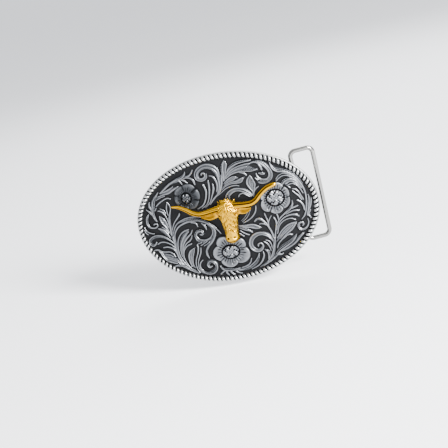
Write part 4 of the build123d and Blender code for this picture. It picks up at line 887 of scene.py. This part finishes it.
longhorn = {
    "centre": 2.5,  # mm along the plate
    "standoff": 1.6,  # mm, back of the head over the plate's front
    "backDepth": 1.3,
    # z, half width and depth of the head, from the poll down to the muzzle
    "head": [(10.2, 0.6, 1.8), (9.5, 3.1, 3.1), (8.2, 5.0, 4.3), (6.2, 6.0, 5.1), (4.0, 6.4, 5.7),
             (2.0, 5.9, 5.6), (-0.5, 4.8, 5.5), (-3.0, 4.2, 5.3), (-5.8, 3.7, 5.1), (-8.0, 3.7, 5.2),
             (-10.0, 4.0, 5.4), (-11.6, 3.7, 4.9), (-12.5, 2.6, 3.8), (-12.85, 0.5, 2.4)],
    # x and z from the head's middle, radius, and height of the centre line over the plate
    "horns": [[(-3.5, 6.3, 2.0, 4.2), (-6.5, 6.0, 1.8, 4.1), (-10.5, 5.4, 1.65, 3.9),
               (-14.5, 5.1, 1.55, 3.6), (-18.0, 6.2, 1.42, 3.4), (-21.5, 8.6, 1.25, 3.4),
               (-25.2, 10.5, 0.95, 3.2), (-29.2, 11.2, 0.35, 3.0)],
              [(3.2, 6.6, 2.0, 4.2), (6.0, 6.3, 1.75, 4.1), (9.5, 5.9, 1.6, 3.9), (12.8, 5.8, 1.5, 3.6),
               (15.6, 6.9, 1.4, 3.4), (18.4, 9.4, 1.3, 3.4), (22.0, 11.8, 1.3, 3.3),
               (25.0, 12.7, 1.25, 3.2), (26.5, 12.9, 1.1, 3.1), (27.2, 12.9, 0.75, 3.1),
               (27.4, 12.9, 0.4, 3.1)]],
    "ears": [[(-4.4, 3.5, 1.0, 4.0), (-7.2, 3.0, 1.55, 3.7), (-10.4, 2.5, 1.45, 3.5),
              (-14.6, 3.2, 0.25, 3.2)],
             [(4.0, 3.4, 1.0, 4.0), (6.4, 2.9, 1.5, 3.7), (9.2, 2.5, 1.35, 3.5), (12.2, 3.2, 0.25, 3.2)]],
    # worked into the face: height, then middle and spread across it, middle and spread along it
    "worked": {
        "brow": (0.5, 3.9, 1.3, 3.9, 1.0),
        "socket": (-0.85, 4.3, 0.95, 2.0, 0.85),
        "cheek": (-0.4, 2.7, 0.55, -3.2, 3.0),
        "nostril": (-0.75, 1.75, 0.62, -9.7, 0.5),
        "lip": (0.3, 1.9, 1.0, -10.9, 0.6),
    },
    # lacquer left in its hollows: amount, then the same four
    "lacquer": {
        "socket": (1, 4.3, 0.8, 2.0, 0.7),
        "cheek": (0.35, 2.7, 0.5, -3.2, 2.6),
        "nostril": (1.1, 1.75, 0.5, -9.7, 0.42),
    },
    "mouth": -11.75,
    "hairDepth": 0.22,
    "lean": 0.65,  # mm that the muzzle sits to the left of the poll
    "eye": {"across": 4.2, "along": 2.0, "radius": 0.62, "flatten": (1, 0.7, 0.8), "proud": 0.1},
    "headGrid": (190, 150),
    "locks": 34,
    "lockReach": 4.8,  # mm either side of the middle
    "seed": 7,
}


def workedAt(rows, side, z):
    return sum(amount * bump(side, across, acrossSpread) * bump(z, along, alongSpread)
               for amount, across, acrossSpread, along, alongSpread in rows.values())


def headSurface(x, z):
    # Height of the face over the plate, and its wear, with the features worked into it.
    half, depth = blendTable(longhorn["head"], z)
    share = min(abs(x) / half, 1)
    lift = longhorn["backDepth"] + (depth - longhorn["backDepth"]) * (1 - share ** 2.3) ** 0.62
    side = abs(x)
    shape = workedAt(longhorn["worked"], side, z)
    shape += 0.28 * bump(side, 0, 1.5) * smooth(-9, -5, z) * (1 - smooth(0, 3, z))  # bridge of the nose
    shape -= 0.5 * bump(z, longhorn["mouth"], 0.22) * (1 - share ** 4)
    dark = workedAt(longhorn["lacquer"], side, z) + 0.7 * bump(z, longhorn["mouth"], 0.3)
    # short chased hair that runs down the face and parts at the nose
    lie = side * 3.4 - z * 0.55 + 0.9 * sin(z * 1.9 + x * 1.3)
    hair = sin(lie * 2.4) * (0.6 + 0.4 * sin(z * 2.3 + side * 2.0))
    cover = smooth(-8.6, -6.5, z) * (1 - smooth(8.5, 10, z))
    shape += longhorn["hairDepth"] * (hair - 0.4) * cover
    dark += 0.85 * smooth(0.1, 0.9, -hair) * cover
    fade = 1 - share ** 6
    return longhorn["standoff"] + lift + shape * fade, 1 - min(dark, 1) * fade


def overHead(x, z, lift):
    return onFront((longhorn["centre"] + x) * mm, z * mm, lift * mm)


def makeHead():
    form = newForm()
    top, chin = longhorn["head"][0][0], longhorn["head"][-1][0]

    def place(u, v):
        z = top + (chin - top) * (0.5 - 0.5 * cos(pi * u)) * 0.5 + (chin - top) * u * 0.5
        half = blendTable(longhorn["head"], z)[0] * (0 if u in (0, 1) else 1)
        turn = 2 * pi * v
        x = half * cos(turn)
        if sin(turn) >= -1e-9:
            lift, wear = headSurface(x, z)
        else:
            lift = longhorn["standoff"] + longhorn["backDepth"] * (1 - abs(sin(turn)) ** 0.6)
            wear = 0.6
        if u in (0, 1):
            lift, wear = longhorn["standoff"] + longhorn["backDepth"], 0.8
        x -= longhorn["lean"] * smooth(-2, 12, -z)
        return overHead(x, z, lift), wear

    layGrid(form, *longhorn["headGrid"], place)
    return form


def addBar(form, rows, step, around, section):
    # A tapered bar along a smooth route over the plate; section shapes it: angle, share along.
    line = smoothRows(rows, step)
    path = [overHead(x, z, rise) for x, z, radius, rise in line]

    def place(u, v):
        k = round(u * (len(line) - 1))
        ahead = (path[min(k + 1, len(path) - 1)] - path[max(k - 1, 0)]).normalized()
        side = ahead.cross(Vector((0, -1, 0))).normalized()
        away = side.cross(ahead).normalized()
        turn = 2 * pi * v
        across, up, wear = section(turn, u)
        radius = line[k][2] * mm * (0 if k in (0, len(line) - 1) else 1)
        return path[k] + (side * across + away * up) * radius, wear

    layGrid(form, len(line) - 1, around, place)


def hornSection(turn, share):
    # Fluted, with one long deep groove towards the top of the front.
    face = turn - radians(118)
    groove = exp(-((((face + pi) % (2 * pi)) - pi) / 0.3) ** 2) * (1 - smooth(0.82, 0.97, share))
    flutes = 0.5 + 0.5 * cos(turn * 9 + share * 5)
    rings = 0.5 + 0.5 * sin(share * 70) * (1 - smooth(0.1, 0.4, share))
    size = 1 - 0.3 * groove - 0.07 * flutes * (1 - smooth(0.7, 0.95, share)) - 0.03 * rings
    return cos(turn) * size, sin(turn) * size, 1 - 0.98 * groove - 0.5 * smooth(0.5, 1, flutes) * (1 - share)


def earSection(turn, share):
    # A flat leaf, hollowed along the front, with hair lines in the hollow.
    hollow = (1 - cos(turn) ** 2) * smooth(0.1, 0.4, share)
    line = 0.5 + 0.5 * sin(cos(turn) * 14)
    up = sin(turn) * 0.42
    if up > 0:
        up -= 0.4 * hollow + 0.16 * line
        return cos(turn), up, 1 - 0.1 * hollow - 0.8 * line * hollow
    return cos(turn), up, 0.5


def makeEmblem():
    head = makeHead()
    eye = longhorn["eye"]
    wear = head.verts.layers.float["wear"]
    for side in (-1, 1):  # the eyes, set under the brow
        ball = bmesh.ops.create_uvsphere(head, u_segments=20, v_segments=14,
                                         radius=eye["radius"] * mm)["verts"]
        lift = headSurface(side * eye["across"], eye["along"])[0]
        spot = overHead(side * eye["across"], eye["along"], lift + eye["proud"])
        bmesh.ops.scale(head, verts=ball, vec=eye["flatten"])
        bmesh.ops.translate(head, verts=ball, vec=spot)
        for vert in ball:
            vert[wear] = 0.85
    finishPiece("longhornHead", head, "plate", "steer_emblem", goldPlate)
    horns = newForm()
    for rows in longhorn["horns"]:
        addBar(horns, rows, 0.35, 54, hornSection)
    finishPiece("longhornHorns", horns, "plate", None, goldPlate)
    ears = newForm()
    for rows in longhorn["ears"]:
        addBar(ears, rows, 0.3, 28, earSection)
    finishPiece("longhornEars", ears, "plate", None, goldPlate)
    finishPiece("longhornForelock", makeForelock(), "plate", None, goldPlate)


def makeForelock():
    # Curled locks that spring from the poll: long ones down the brow, short ones up and out.
    draw = Random(longhorn["seed"])
    form = newForm()
    for k in range(longhorn["locks"]):
        angle = 2 * pi * (k + 0.5) / longhorn["locks"] + draw.uniform(-0.1, 0.1)
        down = 0.5 - 0.5 * sin(angle)
        reach = 2.7 + 3.6 * down + draw.uniform(-0.4, 0.6)
        curl = draw.uniform(-0.7, 0.7)
        rows = []
        for t in (0, 0.25, 0.5, 0.75, 1):
            way = angle + curl * t
            x = 0.15 * cos(angle) + reach * t * cos(way) * 0.95
            z = 8.0 + reach * t * sin(way)
            x = max(min(x, longhorn["lockReach"]), -longhorn["lockReach"])
            lift = headSurface(x, min(z, 9.4))[0] + 0.34 * sin(pi * min(t + 0.15, 1)) * (1 - 0.6 * t)
            rows.append((x, z, 0.46 * (1 - t) ** 0.6 + 0.1, lift))
        addBar(form, rows, 0.3, 10, lockSection)
    return form


def lockSection(turn, share):
    ridge = 0.5 + 0.5 * cos(turn * 4)
    size = 1 - 0.12 * ridge
    return cos(turn) * size, sin(turn) * size, 0.15 + 0.85 * smooth(0, 0.85, sin(turn))


bail = {
    "wire": 2.4,  # mm
    "corner": 3.0,  # mm, bend radius of the wire's middle
    "around": 28,
    "bendSteps": 12,
    "runSteps": 6,
}


def setWear(form, amount):
    wear = form.verts.layers.float["wear"]
    for vert in form.verts:
        vert[wear] = amount


def makeBail():
    # Drawn pointing along +X with its hinge bar on Z, then turned and carried to the hinge.
    form = newForm()
    radius, corner = bail["wire"] / 2 * mm, bail["corner"] * mm
    low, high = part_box("bail_loop")
    half = (high[2] - low[2]) / 2 - radius
    away = Vector(mounts["strap_bar"]["pos_m"]) - hingePoint
    away.z = 0
    reach = away.length
    ring = bmesh.ops.create_circle(form, segments=bail["around"], radius=radius)["verts"]
    bmesh.ops.translate(form, verts=ring, vec=(0, 0, corner - half))
    edges = list(form.edges)
    # each straight run: its length and direction, then the centre of the bend that follows it
    stops = [(2 * (half - corner), (0, 0, 1), (corner, half - corner)),
             (reach - 2 * corner, (1, 0, 0), (reach - corner, half - corner)),
             (2 * (half - corner), (0, 0, -1), (reach - corner, corner - half)),
             (reach - 2 * corner, (-1, 0, 0), (corner, corner - half))]
    for length, way, (centreX, centreZ) in stops:
        for step in range(bail["runSteps"]):
            moved = bmesh.ops.extrude_edge_only(form, edges=edges)["geom"]
            verts = [item for item in moved if isinstance(item, bmesh.types.BMVert)]
            edges = [item for item in moved if isinstance(item, bmesh.types.BMEdge)]
            edges = [edge for edge in edges if all(vert in verts for vert in edge.verts)]
            bmesh.ops.translate(form, verts=verts, vec=Vector(way) * length / bail["runSteps"])
        turned = bmesh.ops.spin(form, geom=verts + edges, cent=(centreX, 0, centreZ), axis=(0, 1, 0),
                                angle=pi / 2, steps=bail["bendSteps"], use_duplicate=False)["geom_last"]
        edges = [item for item in turned if isinstance(item, bmesh.types.BMEdge)]
    bmesh.ops.remove_doubles(form, verts=form.verts, dist=welding)
    swing = Matrix.Rotation(atan2(away.y, away.x), 3, "Z")
    bmesh.ops.rotate(form, verts=form.verts, cent=(0, 0, 0), matrix=swing)
    bmesh.ops.translate(form, verts=form.verts, vec=hingePoint + Vector((0, 0, (low[2] + high[2]) / 2)))
    setWear(form, 0.9)
    finishPiece("wireBail", form, "bail", "bail_loop", polishedNickel)


def addTurned(form, profile, matrix, steps=64, closed=False):
    # Turn a profile of radius and height, in mm, about Z, then carry it to its place.
    points = [form.verts.new((radius * mm, 0, height * mm)) for radius, height in profile]
    pairs = list(zip(points, points[1:])) + ([(points[-1], points[0])] if closed else [])
    edges = [form.edges.new(pair) for pair in pairs]
    before = set(form.verts) - set(points)
    bmesh.ops.spin(form, geom=points + edges, cent=(0, 0, 0), axis=(0, 0, 1), angle=2 * pi, steps=steps,
                   use_merge=True, use_duplicate=False)
    made = [vert for vert in form.verts if vert not in before]
    bmesh.ops.remove_doubles(form, verts=made, dist=welding)
    made = [vert for vert in form.verts if vert not in before]
    bmesh.ops.transform(form, matrix=matrix, verts=made)


def rounding(radius, centreR, centreZ, start, end, steps=6):
    # Points on an arc of a turned profile, angles in degrees.
    return [(centreR + radius * cos(radians(start + (end - start) * k / steps)),
             centreZ + radius * sin(radians(start + (end - start) * k / steps))) for k in range(steps + 1)]


sleeve = {"bore": 1.28, "outer": 2.48, "length": 26.0, "edge": 0.25}  # mm; the first two are radii


def makeSleeve():
    form = newForm()
    bore, outer, half, edge = sleeve["bore"], sleeve["outer"], sleeve["length"] / 2, sleeve["edge"]
    profile = rounding(edge, outer - edge, half - edge, 0, 90)
    profile += rounding(edge, bore + edge, half - edge, 90, 180)
    profile += rounding(edge, bore + edge, edge - half, 180, 270)
    profile += rounding(edge, outer - edge, edge - half, 270, 360)
    addTurned(form, profile, Matrix.Translation(hingePoint), closed=True)
    setWear(form, 0.8)
    finishPiece("bailSleeve", form, "plate", "hinge_sleeve", polishedNickel)


hook = {
    "radius": 1.9,  # mm
    "dome": 1.2,
    "past": 3.35,  # mm from the mount's middle to the tip
    "root": 5.2,  # mm from the mount's middle down into the plate
    "collar": 2.6,
    "collarTop": -2.45,  # mm from the mount's middle
    "collarEdge": 0.15,
    "neck": 1.7,
    "neckTop": -2.15,
    "padX": -27.0,
    "padRadius": 4.2,
    "padThick": 1.2,
    "padEdge": 0.3,
}


def makeHook():
    form = newForm()
    mount = mounts["belt_hook"]
    lean = Vector(mount["axis"]).to_track_quat("Z", "Y").to_matrix().to_4x4()
    place = Matrix.Translation(mount["pos_m"]) @ lean
    collar, collarTop, soften = hook["collar"], hook["collarTop"], hook["collarEdge"]
    profile = [(0, -hook["root"]), (collar, -hook["root"])]
    profile += rounding(soften, collar - soften, collarTop - soften, 0, 90)
    profile += [(hook["neck"], collarTop), (hook["neck"], hook["neckTop"])]
    profile += [(hook["radius"], hook["neckTop"])]
    profile += rounding(hook["dome"], hook["radius"] - hook["dome"], hook["past"] - hook["dome"], 0, 90, 10)
    profile += [(0, hook["past"])]
    addTurned(form, profile, place)
    setWear(form, 0.85)
    finishPiece("beltHook", form, "plate", "belt_hook", tumbledNickel)
    pad = newForm()
    edge, size, thick = hook["padEdge"], hook["padRadius"], hook["padThick"]
    section = [(0, thick)] + rounding(edge, size - edge, thick - edge, 90, 0) + [(size, 0), (0, 0)]

    def lay(u, v):
        reach, drop = section[round(v * (len(section) - 1))]
        x, z = hook["padX"] + reach * cos(2 * pi * u), reach * sin(2 * pi * u)
        return onRear(x * mm, z * mm, drop * mm), 0.75

    layGrid(pad, 72, len(section) - 1, lay)
    finishPiece("hookPad", pad, "plate", "hook_pad", tumbledNickel)


rivets = {  # mm
    "spacing": 6.0,
    "radius": 1.6,
    "height": 0.7,
    "sunk": 0.3,  # below the plate's rear face
    "skirt": 0.1,
    "round": 0.35,
    "flat": 0.7,
    "dimple": 0.06,
}


def makeRivets():
    # Peened heads: low domes with a flat where the punch struck.
    form = newForm()
    size, tall = rivets["radius"], rivets["height"]
    sunk, inset = rivets["sunk"], rivets["round"] + 0.05
    profile = [(0, -sunk), (size, -sunk), (size, rivets["skirt"])]
    profile += rounding(rivets["round"], size - inset, tall - inset, 20, 80)
    profile += [(rivets["flat"], tall), (0, tall - rivets["dimple"])]
    for side in (-1, 1):
        spot = onRear(longhorn["centre"] * mm, side * rivets["spacing"] / 2 * mm, 0)
        addTurned(form, profile, Matrix.Translation(spot) @ Matrix.Rotation(-pi / 2, 4, "X"), 40)
    setWear(form, 0.8)
    finishPiece("emblemRivets", form, "plate", "emblem_rivets", tumbledNickel)


def finishSaddle():
    # Mild steel bar, brazed under the sleeve and plated over: a dull satin with fine pits.
    material, tree, shader = newMaterial("brazedSaddle", 1.0)
    place = addNode(tree, "ShaderNodeTexCoord").outputs["Object"]
    cloud = addNode(tree, "ShaderNodeTexNoise", links={"Vector": place},
                    values={"Scale": 1 / (1.4 * mm), "Detail": 5, "Roughness": 0.65})
    colour = setRamp(addNode(tree, "ShaderNodeValToRGB", links={"Fac": cloud.outputs["Fac"]}),
                     [(0.25, "#70706f"), (0.5, "#989896"), (0.8, "#b4b3b0")])
    tree.links.new(colour.outputs["Color"], shader.inputs["Base Color"])
    gloss = addNode(tree, "ShaderNodeMapRange", links={0: cloud.outputs["Fac"]},
                    values={1: 0.2, 2: 0.8, 3: 0.5, 4: 0.34})
    tree.links.new(gloss.outputs[0], shader.inputs["Roughness"])
    relief = addNode(tree, "ShaderNodeBump", links={"Height": cloud.outputs["Fac"]},
                     values={"Strength": 0.4, "Distance": 0.03 * mm})
    tree.links.new(relief.outputs["Normal"], shader.inputs["Normal"])
    saddle = frame["nodes"]["hinge_saddle"]
    for holder in saddle.material_slots:
        holder.material = material


studio = {
    "floorSize": 60.0,  # metres
    "floorGap": 0.0025,  # metres under the lowest point
    "roomLight": 1.5,
    # the view: degrees round, up and of roll, metres away, lens in mm, shift as a share of the frame
    "azimuth": 12.6,
    "elevation": 13.3,
    "roll": 13.6,
    "distance": 0.6,
    "lens": 93.1,
    "shift": (-0.0037946429, -0.0140625),
    # name, place and size in metres, power in watts, tint
    "lamps": [("keyLight", (0.8, -0.62, 0.45), 0.35, 70.0, "#ffffff"),
              ("fillLight", (-0.7, -0.6, 0.35), 0.6, 0.8, "#f4f6ff"),
              ("rearLight", (0.1, 0.7, 0.6), 0.6, 8.0, "#ffffff")],
}


def makeStudio():
    floor = bmesh.new()
    bmesh.ops.create_grid(floor, x_segments=1, y_segments=1, size=studio["floorSize"] / 2)
    bmesh.ops.translate(floor, verts=floor.verts, vec=(0, 0, cadLow[2] - studio["floorGap"]))
    mesh = bpy.data.meshes.new("studioFloor")
    floor.to_mesh(mesh)
    floor.free()
    stage = bpy.data.objects.new("studioFloor", mesh)
    bpy.context.collection.objects.link(stage)
    card = newMaterial("matteCard", 0, {"Base Color": rgb("#f8f9fb"), "Roughness": 0.9})[0]
    mesh.materials.append(card)
    world = bpy.data.worlds.new("paleRoom")
    bpy.context.scene.world = world
    world.use_nodes = True
    sky = world.node_tree.nodes["Background"]
    sky.inputs["Color"].default_value = rgb("#eef0f4")
    sky.inputs["Strength"].default_value = studio["roomLight"]
    for name, place, size, power, tint in studio["lamps"]:
        light = bpy.data.lights.new(name, "AREA")
        light.size = size
        light.energy = power
        light.color = rgb(tint)[:3]
        lamp = bpy.data.objects.new(name, light)
        lamp.location = place
        lamp.rotation_euler = (Vector((0, 0, 0)) - Vector(place)).to_track_quat("-Z", "Y").to_euler()
        bpy.context.collection.objects.link(lamp)


def makeCamera():
    turn, tilt = radians(studio["azimuth"]), radians(studio["elevation"])
    back = Vector((sin(turn) * cos(tilt), -cos(turn) * cos(tilt), sin(tilt)))
    data = bpy.data.cameras.new("studioCamera")
    data.sensor_width = 36
    data.lens = studio["lens"]
    data.shift_x, data.shift_y = studio["shift"]
    data.clip_start = 0.02
    data.clip_end = 90
    data.dof.use_dof = False
    camera = bpy.data.objects.new("studioCamera", data)
    camera.location = Vector((0, -plateThick, 0)) + back * studio["distance"]
    roll = Matrix.Rotation(radians(-studio["roll"]), 3, "Z")
    camera.rotation_euler = ((-back).to_track_quat("-Z", "Y").to_matrix() @ roll).to_euler()
    bpy.context.collection.objects.link(camera)
    bpy.context.scene.camera = camera


makeCamera()
makeStudio()
print("studio ready")
makePlate()
makeRope()
print("plate and rope edge made")
makeScrolls()
for flowerName, flower in flowers.items():
    makeFlower(flowerName, flower)
print("scrolls and flowers made")
makeEmblem()
print("longhorn made")
makeBail()
makeSleeve()
makeHook()
makeRivets()
finishSaddle()
print("back fittings made")
